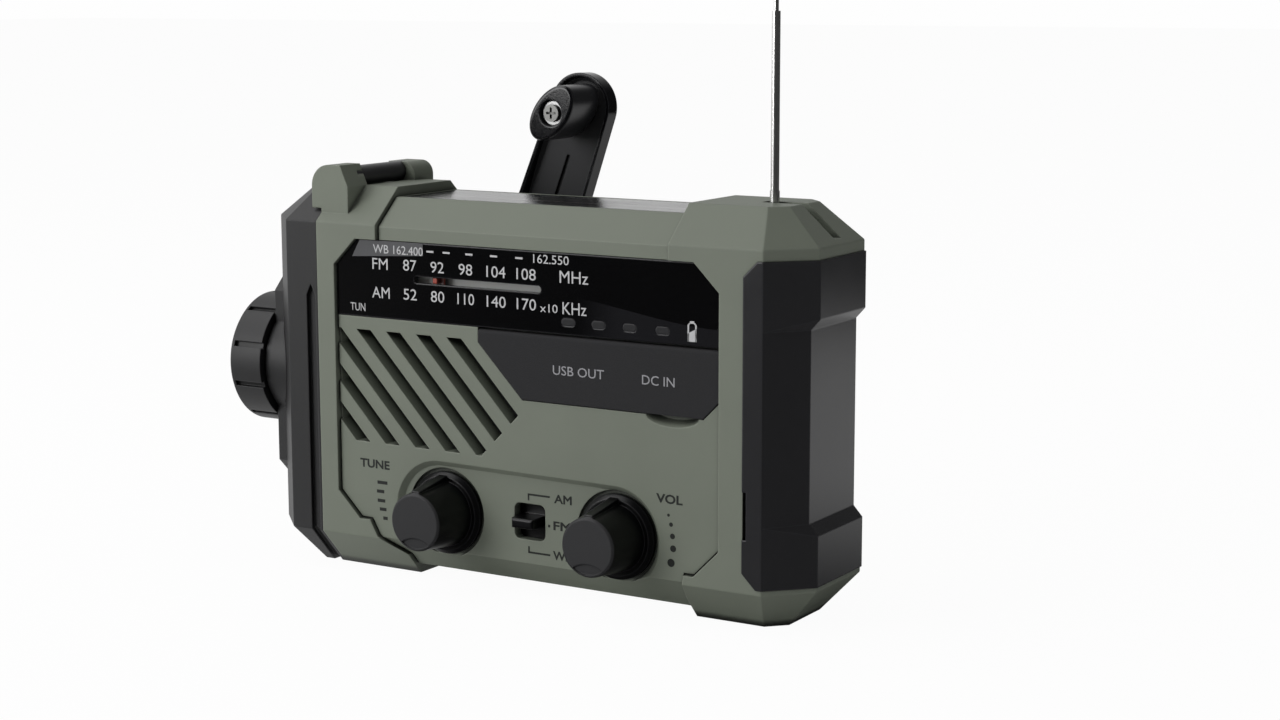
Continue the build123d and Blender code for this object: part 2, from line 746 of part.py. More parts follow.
def cover_outline(gap):
    """Port cover below the dial window, smaller all round by a gap, upright where it hinges."""
    top = COVER_TOP + COVER_GAP
    slope = COVER_SLANT / (top - COVER_LOW)
    Polygon(
        (COVER_LEFT - COVER_SLANT + COVER_END * slope, top),
        (COVER_LEFT - COVER_SLANT + COVER_END * slope, top - COVER_END),
        (COVER_LEFT, COVER_LOW),
        (WINDOW_RIGHT - COVER_CUT, COVER_LOW),
        (WINDOW_RIGHT, COVER_LOW + COVER_CUT),
        (WINDOW_RIGHT, top),
        align=None,
    )
    offset(amount=-gap, kind=Kind.INTERSECTION)


def grille_area(edge):
    """Area that the speaker grille's slots stay inside, larger by an edge."""
    right = COVER_LEFT + GRILLE_RIGHT
    shoulder = GRILLE_TOP - GRILLE_SHOULDER
    Polygon(
        (GRILLE_LEFT, GRILLE_TOP),
        (right, GRILLE_TOP),
        (right, shoulder),
        (right - (shoulder - GRILLE_LOW), GRILLE_LOW),
        (GRILLE_LEFT, GRILLE_LOW),
        align=None,
    )
    if edge:
        offset(amount=edge, kind=Kind.INTERSECTION)


# Casing

with BuildPart() as grille_slots:
    with BuildSketch(front(FRONT_WALL)):
        for slot in range(GRILLE_COUNT):
            start = GRILLE_START - slot * GRILLE_PITCH
            Polygon(
                (start - GRILLE_SLOT / 2, GRILLE_TOP),
                (start + GRILLE_SLOT / 2, GRILLE_TOP),
                (start + GRILLE_SLOT / 2 + GRILLE_SHIFT, GRILLE_LOW),
                (start - GRILLE_SLOT / 2 + GRILLE_SHIFT, GRILLE_LOW),
                align=None,
            )
    extrude(amount=FRONT_WALL + 1)
    with BuildSketch(front(FRONT_WALL)):
        grille_area(0)
    extrude(amount=FRONT_WALL + 1, mode=Mode.INTERSECT)

with BuildPart() as front_shell:
    add(shell_tube.part)
    split(bisect_by=front(PARTING), keep=Keep.TOP)
    for across, height in SCREW_PLACES:
        disc(across, height, POST_RADIUS, FRONT_WALL - POST_ROOT, PARTING)
    with BuildSketch(front(WINDOW_BACK)):
        window_outline(0)
    extrude(amount=WINDOW_THICK + 1, mode=Mode.SUBTRACT)
    block(
        SLOT_LEFT - DIAL_EDGE,
        SLOT_RIGHT + DIAL_EDGE,
        0,
        FRONT_WALL,
        SLOT_Z - CARRIAGE_HIGH / 2 - POINTER_GAP,
        SLOT_Z + CARRIAGE_HIGH / 2 + POINTER_GAP,
        mode=Mode.SUBTRACT,
    )
    with BuildSketch(front(FRONT_WALL)):
        with Locations(*[(across, LAMP_Z) for across in LAMP_X]):
            SlotOverall(LAMP_WIDE, LAMP_HIGH)
    extrude(amount=FRONT_WALL + 1, mode=Mode.SUBTRACT)
    with BuildSketch(front(COVER_FLOOR)):
        cover_outline(0)
    extrude(amount=COVER_FLOOR + 1, mode=Mode.SUBTRACT)
    with BuildSketch(front(CENTRE_FACE)):
        with Locations((THUMB_X, COVER_LOW)):
            Ellipse(THUMB_WIDE, THUMB_DEPTH)
    extrude(amount=-THUMB_DEPTH, taper=30, mode=Mode.SUBTRACT)
    block(
        USB_X - USB_WIDE / 2,
        USB_X + USB_WIDE / 2,
        0,
        FRONT_WALL,
        SOCKET_Z - USB_HIGH / 2,
        SOCKET_Z + USB_HIGH / 2,
        mode=Mode.SUBTRACT,
    )
    disc(DC_X, SOCKET_Z, DC_RADIUS, 0, FRONT_WALL, mode=Mode.SUBTRACT)
    with BuildSketch(front(PANEL_FLOOR)):
        with Locations((TUNE_X - PANEL_SHIFT, KNOB_Z)):
            Circle(PANEL_ROOM - (PANEL_FLOOR - CENTRE_FACE))
        with Locations((VOLUME_X, KNOB_Z)):
            Circle(PANEL_RADIUS - (PANEL_FLOOR - CENTRE_FACE))
        make_hull()
    extrude(amount=PANEL_FLOOR, taper=-45, mode=Mode.SUBTRACT)
    for across in (TUNE_X, VOLUME_X):
        disc(across, KNOB_Z, WELL_RADIUS, -1, WELL_FLOOR, mode=Mode.SUBTRACT)
        disc(across, KNOB_Z, SPINDLE_RADIUS + SPINDLE_CLEAR, 0, FRONT_WALL, mode=Mode.SUBTRACT)
    with BuildSketch(front(FRONT_WALL)):
        with Locations((SWITCH_X, SWITCH_Z)):
            RectangleRounded(SWITCH_SIZE, SWITCH_SIZE, SWITCH_ROUND)
    extrude(amount=FRONT_WALL + 1, mode=Mode.SUBTRACT)
    add(grille_slots.part, mode=Mode.SUBTRACT)
    for across, height in SCREW_PLACES:
        disc(across, height, SCREW_RADIUS, FRONT_WALL + SCREW_START, PARTING, mode=Mode.SUBTRACT)
write(front_shell, "front_shell")

with BuildPart() as rear_shell:
    add(shell_tube.part)
    split(bisect_by=front(PARTING), keep=Keep.BOTTOM)
    for across, height in SCREW_PLACES:
        disc(across, height, POST_RADIUS, PARTING, REAR_INNER + POST_ROOT)
    for across, height in PLATE_POSTS:
        disc(across, height, PLATE_POST, PLATE_REAR, REAR_INNER + POST_ROOT)
    disc(CRANK_X, CRANK_Z, AXLE_BOSS, GEAR_REAR + HUB_FLOAT, REAR_INNER + POST_ROOT)
    disc(CRANK_X, CRANK_Z, HUB_RADIUS + HUB_GAP, HUB_FLOOR, DEPTH, mode=Mode.SUBTRACT)
    disc(CRANK_X, CRANK_Z, AXLE_RADIUS + AXLE_FIT, GEAR_FRONT, DEPTH, mode=Mode.SUBTRACT)
    disc(WHEEL_X, WHEEL_Z, GEAR_AXLE_RADIUS, REAR_INNER - 1, REAR_INNER + AXLE_SEAT, mode=Mode.SUBTRACT)
    block(DOOR_LEFT, DOOR_RIGHT, DOOR_FRONT, DEPTH, DOOR_LOW, DOOR_TOP, mode=Mode.SUBTRACT)
    block(
        DOOR_LEFT + DOOR_LEDGE,
        DOOR_RIGHT - DOOR_LEDGE,
        REAR_INNER - 1,
        DEPTH,
        DOOR_LOW + DOOR_LEDGE,
        DOOR_TOP - DOOR_LEDGE,
        mode=Mode.SUBTRACT,
    )
    for across, height in SCREW_PLACES:
        disc(across, height, HEAD_HOLE, REAR_FACE - SCREW_HEAD_DEEP, DEPTH, mode=Mode.SUBTRACT)
        disc(across, height, SCREW_RADIUS, PARTING, DEPTH, mode=Mode.SUBTRACT)
write(rear_shell, "rear_shell")


def horn(left, right, near, top, round_left):
    """Lanyard horn on the left frame, rounded on one side and slanted on the other, from the front."""
    with BuildSketch(front(near + HORN_THICK)) as face:
        if round_left:
            Polygon(
                (left, HEIGHT - TOP_BEVEL),
                (left, top),
                (right - HORN_FLAT, top),
                (right, HEIGHT),
                (right, HEIGHT - TOP_BEVEL),
                align=None,
            )
            fillet(vertices().sort_by(Axis.Y)[-2:].sort_by(Axis.X)[0], HORN_ROUND)
        else:
            Polygon(
                (left, HEIGHT - TOP_BEVEL),
                (left, top),
                (right, top),
                (right, HEIGHT - TOP_BEVEL),
                align=None,
            )
            fillet(vertices().sort_by(Axis.Y)[-2:].sort_by(Axis.X)[1], REAR_HORN_ROUND)
    extrude(face.sketch, amount=HORN_THICK)


with BuildPart() as left_horns:
    horn(BAR_X - FRONT_HORN_LEFT, BAR_X + FRONT_HORN_RIGHT, HORN_FRONT, HEIGHT + HORN_UP, True)
    horn(BAR_X - REAR_HORN_LEFT, BAR_X + REAR_HORN_RIGHT, HORN_REAR, HEIGHT + REAR_HORN_UP, False)

with BuildPart() as horn_clearance:
    body_form(-HORN_LIFT, 0, HEIGHT + HORN_LIFT)
    split(bisect_by=side(-BODY_HALF), keep=Keep.BOTTOM)

with BuildPart() as left_end_frame:
    add(outer_form.part)
    through(*left_seam(), (-BODY_HALF, -1), (-BODY_HALF, HEIGHT + 1))
    add(left_horns.part)
    add(horn_clearance.part, mode=Mode.SUBTRACT)
    add(under_form.part, mode=Mode.SUBTRACT)
    with BuildSketch(side(BAR_X - BAR_RADIUS - STRAP_EDGE)):
        Polygon(
            (HORN_FRONT + HORN_THICK, HEIGHT + 0.01),
            (HORN_FRONT + HORN_THICK + STRAP_RAMP, HEIGHT - STRAP_DIP),
            (HORN_REAR - STRAP_RAMP, HEIGHT - STRAP_DIP),
            (HORN_REAR, HEIGHT + 0.01),
            align=None,
        )
    extrude(amount=2 * (BAR_RADIUS + STRAP_EDGE), mode=Mode.SUBTRACT)
    disc(
        BAR_X,
        BAR_Z,
        BAR_RADIUS,
        HORN_FRONT + HORN_THICK - BAR_SINK,
        HORN_REAR + BAR_SINK,
        mode=Mode.SUBTRACT,
    )
write(left_end_frame, "left_end_frame")

with BuildPart() as lanyard_bar:
    disc(BAR_X, BAR_Z, BAR_RADIUS, HORN_FRONT + HORN_THICK - BAR_SINK, HORN_REAR + BAR_SINK)
write(lanyard_bar, "lanyard_bar")


def bumper_outline(gap):
    """Outline of the bumper in the front view, larger all round by a gap."""
    return (
        (BUMPER_LEFT - gap, BUMPER_LOW + BUMPER_CUT),
        (BUMPER_LEFT - gap, BUMPER_TOP - BUMPER_CUT),
        (BUMPER_LEFT + BUMPER_CUT - gap, BUMPER_TOP + gap),
        (BODY_HALF + 2, BUMPER_TOP + gap),
        (BODY_HALF + 2, BUMPER_LOW - gap),
        (BUMPER_LEFT + BUMPER_CUT - gap, BUMPER_LOW - gap),
    )


with BuildPart() as bumper_ground:
    body_form(BUMPER_SEAT, BUMPER_SEAT, HEIGHT - BUMPER_SEAT)

BUMPER_CORNER = CORNER - BUMPER_PROUD * (math.sqrt(2) - 1)


def scoop_ring(height, shift):
    """Level section of the bumper inside its scoop, moved out to the right by a shift."""
    corner = BODY_HALF - BUMPER_CORNER + shift
    flank = BODY_HALF + BUMPER_PROUD - BUMPER_SCOOP + shift
    with BuildSketch(level(height)) as face:
        Polygon(
            (BUMPER_LEFT, -BUMPER_PROUD),
            (corner, -BUMPER_PROUD),
            (flank, BUMPER_CORNER),
            (flank, DEPTH - BUMPER_CORNER),
            (corner, DEPTH + BUMPER_PROUD),
            (BUMPER_LEFT, DEPTH + BUMPER_PROUD),
            align=None,
        )
    return face.sketch


with BuildPart() as scoop_core:
    loft(
        [
            scoop_ring(SCOOP_LOW, BUMPER_SCOOP),
            scoop_ring(SCOOP_LOW + LEDGE, 0),
            scoop_ring(SCOOP_TOP - LEDGE, 0),
            scoop_ring(SCOOP_TOP, BUMPER_SCOOP),
        ],
        ruled=True,
    )

with BuildPart() as bumper_scoop:
    block(BODY_HALF - BUMPER_CORNER, BODY_HALF + 2, -1, DEPTH + 1, SCOOP_LOW, SCOOP_TOP)
    add(scoop_core.part, mode=Mode.SUBTRACT)

with BuildPart() as bumper_pocket:
    body_form(-BUMPER_PROUD, 0, HEIGHT)
    through(*bumper_outline(0))
    add(bumper_ground.part, mode=Mode.SUBTRACT)

with BuildPart() as right_cavity:
    body_form(END_WALL, SHELL_LOW + FLOOR_WALL, SHELL_HIGH - FLOOR_WALL)

with BuildPart() as right_under:
    add(under_form.part)
    split(bisect_by=side(SHELL_RIGHT), keep=Keep.BOTTOM)

with BuildPart() as antenna_block:
    body_form(FRAME_WALL / 2, 0, HEIGHT)
    block(
        ANTENNA_BLOCK_LEFT,
        BODY_HALF - BUMPER_SEAT,
        MIDDLE - ANTENNA_BLOCK_DEPTH / 2,
        MIDDLE + ANTENNA_BLOCK_DEPTH / 2,
        ANTENNA_BLOCK_LOW,
        HEIGHT,
        mode=Mode.INTERSECT,
    )

with BuildPart() as right_end_frame:
    add(outer_form.part)
    through(*right_seam(), (BODY_HALF + 1, -1), (BODY_HALF + 1, HEIGHT + 1))
    add(right_under.part, mode=Mode.SUBTRACT)
    add(right_cavity.part, mode=Mode.SUBTRACT)
    add(antenna_block.part)
    add(bumper_pocket.part, mode=Mode.SUBTRACT)
    block(
        ANTENNA_X - KNUCKLE_RADIUS - BLOCK_CLEAR,
        BODY_HALF + 1,
        MIDDLE - ANTENNA_SLOT / 2,
        MIDDLE + ANTENNA_SLOT / 2,
        ANTENNA_PIVOT_Z - KNUCKLE_RADIUS - BLOCK_CLEAR,
        HEIGHT + 1,
        mode=Mode.SUBTRACT,
    )
    disc(
        ANTENNA_X,
        ANTENNA_PIVOT_Z,
        PIVOT_RADIUS,
        MIDDLE - ANTENNA_BLOCK_DEPTH / 2 + PIVOT_SHORT,
        MIDDLE + ANTENNA_BLOCK_DEPTH / 2,
        mode=Mode.SUBTRACT,
    )
write(right_end_frame, "right_end_frame")

with BuildPart() as right_end_bumper:
    add(bumper_pocket.part)
    add(bumper_scoop.part, mode=Mode.SUBTRACT)
    block(
        BUMPER_LEFT - 1,
        BUMPER_LEFT + FINGER_SLOT_WIDE,
        -1,
        FINGER_SLOT_DEEP,
        FINGER_SLOT_LOW,
        FINGER_SLOT_TOP,
        mode=Mode.SUBTRACT,
    )
write(right_end_bumper, "right_end_bumper")

with BuildPart() as cap_hollow:
    body_form(CAP_WALL, SHELL_LOW + FLOOR_WALL, SHELL_HIGH - FLOOR_WALL)

with BuildPart() as tongue_room:
    add(under_form.part)
    split(bisect_by=side(-BODY_HALF - SHELL_TONGUE), keep=Keep.TOP)

with BuildPart() as groove_ground:
    body_form(GROOVE_DEEP, GROOVE_DEEP, HEIGHT - GROOVE_DEEP)

with BuildPart() as cap_groove:
    body_form(0, 0, HEIGHT)
    through(
        (GROOVE_X - GROOVE_WIDE / 2, -1),
        (GROOVE_X - GROOVE_WIDE / 2, GROOVE_TOP - GROOVE_WIDE),
        (GROOVE_X, GROOVE_TOP),
        (GROOVE_X + GROOVE_WIDE / 2, GROOVE_TOP - GROOVE_WIDE),
        (GROOVE_X + GROOVE_WIDE / 2, -1),
    )
    add(groove_ground.part, mode=Mode.SUBTRACT)

with BuildPart() as left_end_cap:
    add(outer_form.part)
    split(bisect_by=side(-BODY_HALF), keep=Keep.BOTTOM)
    add(cap_hollow.part, mode=Mode.SUBTRACT)
    add(tongue_room.part, mode=Mode.SUBTRACT)
    add(cap_groove.part, mode=Mode.SUBTRACT)
    side_disc(TORCH_WIRE_HOLE, -CAP_END - 1, -CAP_END + CAP_WALL + 1, mode=Mode.SUBTRACT)
write(left_end_cap, "left_end_cap")

# Torch

with BuildPart() as collar_boss:
    side_disc(COLLAR_BOSS, COLLAR_FACE, CORNER - CAP_END)
    add(outer_form.part, mode=Mode.SUBTRACT)

with BuildPart() as flashlight_collar:
    with BuildSketch(side(COLLAR_FACE)):
        with Locations((MIDDLE, (COLLAR_LOW + COLLAR_HIGH) / 2)):
            Rectangle(COLLAR_DEPTH, COLLAR_HIGH - COLLAR_LOW)
        chamfer(vertices(), COLLAR_CUT)
    extrude(amount=COLLAR_THICK)
    add(collar_boss.part)
    side_disc(SPIGOT_RADIUS, COLLAR_FACE - SPIGOT_LENGTH, COLLAR_FACE)
    side_disc(SPIGOT_RADIUS - SPIGOT_WALL, COLLAR_FACE - SPIGOT_LENGTH, -CAP_END, mode=Mode.SUBTRACT)
write(flashlight_collar, "flashlight_collar")

with BuildPart() as flashlight_head:
    side_disc(HEAD_RADIUS, HEAD_RIM, HEAD_BACK)
    chamfer(edges().group_by(Axis.X)[0], RIM_WIDE / 2)
    side_disc(SPIGOT_RADIUS + HEAD_FIT, HEAD_RIM, HEAD_BACK, mode=Mode.SUBTRACT)
    side_disc(LENS_RADIUS, HEAD_RIM, HEAD_RIM + LENS_SET + LENS_THICK, mode=Mode.SUBTRACT)
    with BuildSketch(side(HEAD_RIM + RIM_WIDE)):
        with Locations((MIDDLE, TORCH_Z)):
            with PolarLocations(HEAD_RADIUS, HEAD_GROOVES, start_angle=180 / HEAD_GROOVES):
                Rectangle(2 * GRIP_SLOT_DEEP, GRIP_SLOT_WIDE)
    extrude(amount=HEAD_LENGTH, mode=Mode.SUBTRACT)
write(flashlight_head, "flashlight_head")

with BuildPart() as flashlight_lens:
    side_disc(LENS_RADIUS, HEAD_RIM + LENS_SET, HEAD_RIM + LENS_SET + LENS_THICK)
write(flashlight_lens, "flashlight_lens")

SPIGOT_END = COLLAR_FACE - SPIGOT_LENGTH
REFLECTOR_MOUTH = SPIGOT_RADIUS - SPIGOT_WALL - REFLECTOR_FIT

with BuildPart() as flashlight_reflector:
    with BuildSketch(front(MIDDLE)):
        Polygon(
            (SPIGOT_END, TORCH_Z + SPIGOT_RADIUS - REFLECTOR_FIT),
            (SPIGOT_END - REFLECTOR_WALL, TORCH_Z + SPIGOT_RADIUS - REFLECTOR_FIT),
            (SPIGOT_END - REFLECTOR_WALL, TORCH_Z + REFLECTOR_MOUTH - REFLECTOR_WALL),
            (SPIGOT_END + REFLECTOR_DEPTH * 0.5, TORCH_Z + REFLECTOR_MOUTH * 0.72),
            (SPIGOT_END + REFLECTOR_DEPTH, TORCH_Z + LED_RADIUS + LED_CLEAR),
            (SPIGOT_END + REFLECTOR_DEPTH, TORCH_Z + LED_RADIUS + LED_CLEAR + REFLECTOR_WALL),
            (SPIGOT_END + REFLECTOR_DEPTH * 0.5, TORCH_Z + REFLECTOR_MOUTH * 0.72 + REFLECTOR_WALL),
            (SPIGOT_END, TORCH_Z + REFLECTOR_MOUTH),
            align=None,
        )
    revolve(axis=Axis(origin=(BODY_X, FRONT_Y + MIDDLE, TORCH_Z), direction=(1, 0, 0)))
write(flashlight_reflector, "flashlight_reflector")

LED_SEAT = -CAP_END - LED_BOARD_THICK

with BuildPart() as flashlight_led:
    side_disc(LED_BOARD_RADIUS, LED_SEAT, LED_SEAT + LED_BOARD_THICK)
    side_disc(LED_RADIUS, LED_SEAT - LED_DOME, LED_SEAT)
    fillet(edges().group_by(Axis.X)[0], LED_RADIUS / 2)
write(flashlight_led, "flashlight_led")

# Solar panel

with BuildPart() as solar_cell:
    block(
        SOLAR_LEFT,
        SOLAR_RIGHT,
        SOLAR_FRONT,
        SOLAR_REAR,
        SHELL_HIGH - SOLAR_THICK - CELL_THICK,
        SHELL_HIGH - SOLAR_THICK,
    )
write(solar_cell, "solar_cell")

with BuildPart() as solar_window:
    block(SOLAR_LEFT, SOLAR_RIGHT, SOLAR_FRONT, SOLAR_REAR, SHELL_HIGH - SOLAR_THICK, SHELL_HIGH)
write(solar_window, "solar_window")

# Dial

with BuildPart() as dial_window:
    with BuildSketch(front(WINDOW_BACK)):
        window_outline(WINDOW_FIT)
        with Locations(((SLOT_LEFT + SLOT_RIGHT) / 2, SLOT_Z)):
            SlotOverall(SLOT_RIGHT - SLOT_LEFT, SLOT_HIGH, mode=Mode.SUBTRACT)
        with Locations(*[(across, LAMP_Z) for across in LAMP_X]):
            SlotOverall(LAMP_WIDE, LAMP_HIGH, mode=Mode.SUBTRACT)
    extrude(amount=WINDOW_THICK)
write(dial_window, "dial_window")

with BuildPart() as charge_lamps:
    with BuildSketch(front(BOARD_FRONT)):
        with Locations(*[(across, LAMP_Z) for across in LAMP_X]):
            SlotOverall(LAMP_WIDE, LAMP_HIGH)
    extrude(amount=BOARD_FRONT - CENTRE_FACE)
write(charge_lamps, "charge_lamps")

with BuildPart() as dial_plate:
    block(
        SLOT_LEFT - 2 * DIAL_EDGE,
        SLOT_RIGHT + 2 * DIAL_EDGE,
        FRONT_WALL,
        FRONT_WALL + DIAL_PLATE_THICK,
        SLOT_Z - CARRIAGE_HIGH / 2 - DIAL_EDGE / 2,
        SLOT_Z + CARRIAGE_HIGH / 2 + DIAL_EDGE,
    )
write(dial_plate, "dial_plate")

with BuildPart() as dial_pointer:
    block(
        POINTER_X - CARRIAGE_WIDE / 2,
        POINTER_X + CARRIAGE_WIDE / 2,
        WINDOW_BACK + POINTER_GAP,
        WINDOW_BACK + POINTER_GAP + POINTER_THICK,
        SLOT_Z - CARRIAGE_HIGH / 2,
        SLOT_Z + CARRIAGE_HIGH / 2,
    )
    block(
        POINTER_X - POINTER_WIDE / 2,
        POINTER_X + POINTER_WIDE / 2,
        CENTRE_FACE + POINTER_SET,
        WINDOW_BACK + POINTER_GAP,
        SLOT_Z - SLOT_HIGH / 2 + SLOT_CLEAR,
        SLOT_Z + SLOT_HIGH / 2 - SLOT_CLEAR,
    )
write(dial_pointer, "dial_pointer")

# Port cover and sockets

with BuildPart() as port_cover:
    with BuildSketch(front(COVER_BACK)):
        cover_outline(COVER_GAP)
    extrude(amount=COVER_THICK)
    hinge_edges = edges().filter_by(Axis.X).group_by(Axis.Z)[-1]
    fillet(hinge_edges, COVER_THICK / 2 - 0.01)
write(port_cover, "port_cover")

with BuildPart() as usb_out_socket:
    block(
        USB_X - USB_WIDE / 2,
        USB_X + USB_WIDE / 2,
        COVER_FLOOR,
        BOARD_FRONT,
        SOCKET_Z - USB_HIGH / 2,
        SOCKET_Z + USB_HIGH / 2,
    )
    block(
        USB_X - USB_WIDE / 2 + USB_WALL,
        USB_X + USB_WIDE / 2 - USB_WALL,
        COVER_FLOOR,
        BOARD_FRONT - SOCKET_END,
        SOCKET_Z - USB_HIGH / 2 + USB_WALL,
        SOCKET_Z + USB_HIGH / 2 - USB_WALL,
        mode=Mode.SUBTRACT,
    )
    block(
        USB_X - USB_WIDE / 2 + USB_WALL,
        USB_X + USB_WIDE / 2 - USB_WALL,
        COVER_FLOOR + SOCKET_SET,
        BOARD_FRONT - SOCKET_END,
        SOCKET_Z + USB_TONGUE_UP,
        SOCKET_Z + USB_TONGUE_UP + USB_TONGUE,
    )
write(usb_out_socket, "usb_out_socket")

with BuildPart() as dc_in_socket:
    disc(DC_X, SOCKET_Z, DC_RADIUS, COVER_FLOOR, BOARD_FRONT)
    disc(DC_X, SOCKET_Z, DC_BORE, COVER_FLOOR, BOARD_FRONT - SOCKET_END, mode=Mode.SUBTRACT)
    disc(DC_X, SOCKET_Z, DC_PIN, COVER_FLOOR + SOCKET_SET, BOARD_FRONT - SOCKET_END)
write(dc_in_socket, "dc_in_socket")


# Knobs, their spindles and what they turn


def control_knob(across):
    """Skirted knob with a ridge that points up, a stepped face and a bore for its spindle."""
    with BuildSketch(side(across)) as section:
        Polygon(
            (KNOB_BACK, KNOB_Z),
            (KNOB_BACK, KNOB_Z + SKIRT_RADIUS),
            (KNOB_BACK - SKIRT_THICK / 2, KNOB_Z + SKIRT_RADIUS),
            (KNOB_BACK - SKIRT_THICK, KNOB_Z + SKIRT_RADIUS - SKIRT_EDGE),
            (KNOB_BACK - SKIRT_THICK, KNOB_Z + GRIP_RADIUS),
            (KNOB_FRONT + FACE_EDGE, KNOB_Z + FACE_RADIUS),
            (KNOB_FRONT, KNOB_Z + FACE_RADIUS - FACE_EDGE),
            (KNOB_FRONT, KNOB_Z),
            align=None,
        )
    revolve(section.sketch, axis=depth_axis(across, KNOB_Z))
    with BuildSketch(side(across - RIDGE_WIDE / 2)) as ridge:
        Polygon(
            (KNOB_BACK - SKIRT_THICK, KNOB_Z + FACE_RADIUS / 2),
            (KNOB_BACK - SKIRT_THICK, KNOB_Z + RIDGE_RADIUS),
            (KNOB_FRONT + RIDGE_SET, KNOB_Z + FACE_RADIUS + RIDGE_SET),
            (KNOB_FRONT + RIDGE_SET, KNOB_Z + FACE_RADIUS / 2),
            align=None,
        )
    extrude(ridge.sketch, amount=RIDGE_WIDE)
    with BuildSketch(front(KNOB_FRONT + FACE_STEP)) as step:
        with Locations((across, KNOB_Z)):
            Circle(FACE_RADIUS + 1)
        with Locations((across, KNOB_Z)):
            Circle(FACE_RADIUS - RIDGE_SET, mode=Mode.INTERSECT)
        with Locations((across, KNOB_Z - FACE_STEP_DROP)):
            Circle(FACE_RADIUS, mode=Mode.INTERSECT)
    extrude(step.sketch, amount=FACE_STEP, mode=Mode.SUBTRACT)
    disc(across, KNOB_Z, SPINDLE_RADIUS, KNOB_BACK - SPINDLE_IN_KNOB, KNOB_BACK, mode=Mode.SUBTRACT)


def spindle(across, end):
    """Spindle from a knob's bore back into the control that it turns."""
    disc(across, KNOB_Z, SPINDLE_RADIUS, KNOB_BACK - SPINDLE_IN_KNOB, end)


CONTROL_REAR = FRONT_WALL + CONTROL_DEPTH
SPINDLE_END = CONTROL_REAR - SPINDLE_SHORT

with BuildPart() as tune_knob:
    control_knob(TUNE_X)
write(tune_knob, "tune_knob")

with BuildPart() as tuning_spindle:
    spindle(TUNE_X, SPINDLE_END)
write(tuning_spindle, "tuning_spindle")

with BuildPart() as tuning_capacitor:
    block(
        TUNE_X - CAPACITOR_WIDE / 2,
        TUNE_X + CAPACITOR_WIDE / 2,
        FRONT_WALL,
        CONTROL_REAR,
        KNOB_Z - CAPACITOR_HIGH / 2,
        KNOB_Z + CAPACITOR_HIGH / 2,
    )
    disc(TUNE_X, KNOB_Z, SPINDLE_RADIUS + RUN_FIT, FRONT_WALL, SPINDLE_END + RUN_FIT, mode=Mode.SUBTRACT)
write(tuning_capacitor, "tuning_capacitor")

with BuildPart() as volume_knob:
    control_knob(VOLUME_X)
write(volume_knob, "volume_knob")

with BuildPart() as volume_spindle:
    spindle(VOLUME_X, SPINDLE_END)
write(volume_spindle, "volume_spindle")

with BuildPart() as volume_control:
    disc(VOLUME_X, KNOB_Z, POT_RADIUS, FRONT_WALL, BOARD_FRONT)
    disc(VOLUME_X, KNOB_Z, SPINDLE_RADIUS + RUN_FIT, FRONT_WALL, SPINDLE_END + RUN_FIT, mode=Mode.SUBTRACT)
write(volume_control, "volume_control")

with BuildPart() as band_switch_slider:
    block(
        SWITCH_X - SLIDER_WIDE / 2,
        SWITCH_X + SLIDER_WIDE / 2,
        SLIDER_FRONT,
        SLIDER_FRONT + SLIDER_THICK,
        SWITCH_Z - SLIDER_HALF,
        SWITCH_Z + SLIDER_HALF,
    )
    block(
        SWITCH_X - NUB_SHIFT - NUB_WIDE / 2,
        SWITCH_X - NUB_SHIFT + NUB_WIDE / 2,
        PANEL_FLOOR - NUB_PROUD,
        SLIDER_FRONT,
        SWITCH_Z - NUB_HIGH / 2,
        SWITCH_Z + NUB_HIGH / 2,
    )
    fillet(faces().sort_by(Axis.Y)[0].edges(), NUB_EDGE)
write(band_switch_slider, "band_switch_slider")

with BuildPart() as band_switch_body:
    block(
        SWITCH_X - SWITCH_BODY_WIDE / 2,
        SWITCH_X + SWITCH_BODY_WIDE / 2,
        FRONT_WALL,
        BOARD_FRONT,
        SWITCH_Z - SWITCH_BODY_HALF,
        SWITCH_Z + SWITCH_BODY_HALF,
    )
    add(cavity.part, mode=Mode.INTERSECT)
    block(
        SWITCH_X - SWITCH_BODY_WIDE / 2 + SWITCH_WALL,
        SWITCH_X + SWITCH_BODY_WIDE / 2 - SWITCH_WALL,
        FRONT_WALL - 1,
        SLIDER_FRONT + SLIDER_THICK + SLIDER_GAP,
        SWITCH_Z - SLIDER_HALF - SWITCH_THROW - SLIDER_GAP,
        SWITCH_Z + SLIDER_HALF + SWITCH_THROW + SLIDER_GAP,
        mode=Mode.SUBTRACT,
    )
write(band_switch_body, "band_switch_body")

# Loudspeaker

SPEAKER_FRONT = FRONT_WALL + CLOTH_THICK
BASKET_FRONT = SPEAKER_FRONT + SPEAKER_FLANGE
MAGNET_FRONT = BASKET_FRONT + BASKET_DEPTH

with BuildPart() as speaker_cloth:
    with BuildSketch(front(SPEAKER_FRONT)):
        grille_area(CLOTH_EDGE)
    extrude(amount=CLOTH_THICK)
write(speaker_cloth, "speaker_cloth")


def speaker_ring(*points):
    """Turned piece on the loudspeaker's axis, from depth and radius points."""
    with BuildSketch(side(SPEAKER_X)) as section:
        Polygon(*[(depth, SPEAKER_Z + radius) for depth, radius in points], align=None)
    revolve(section.sketch, axis=depth_axis(SPEAKER_X, SPEAKER_Z))


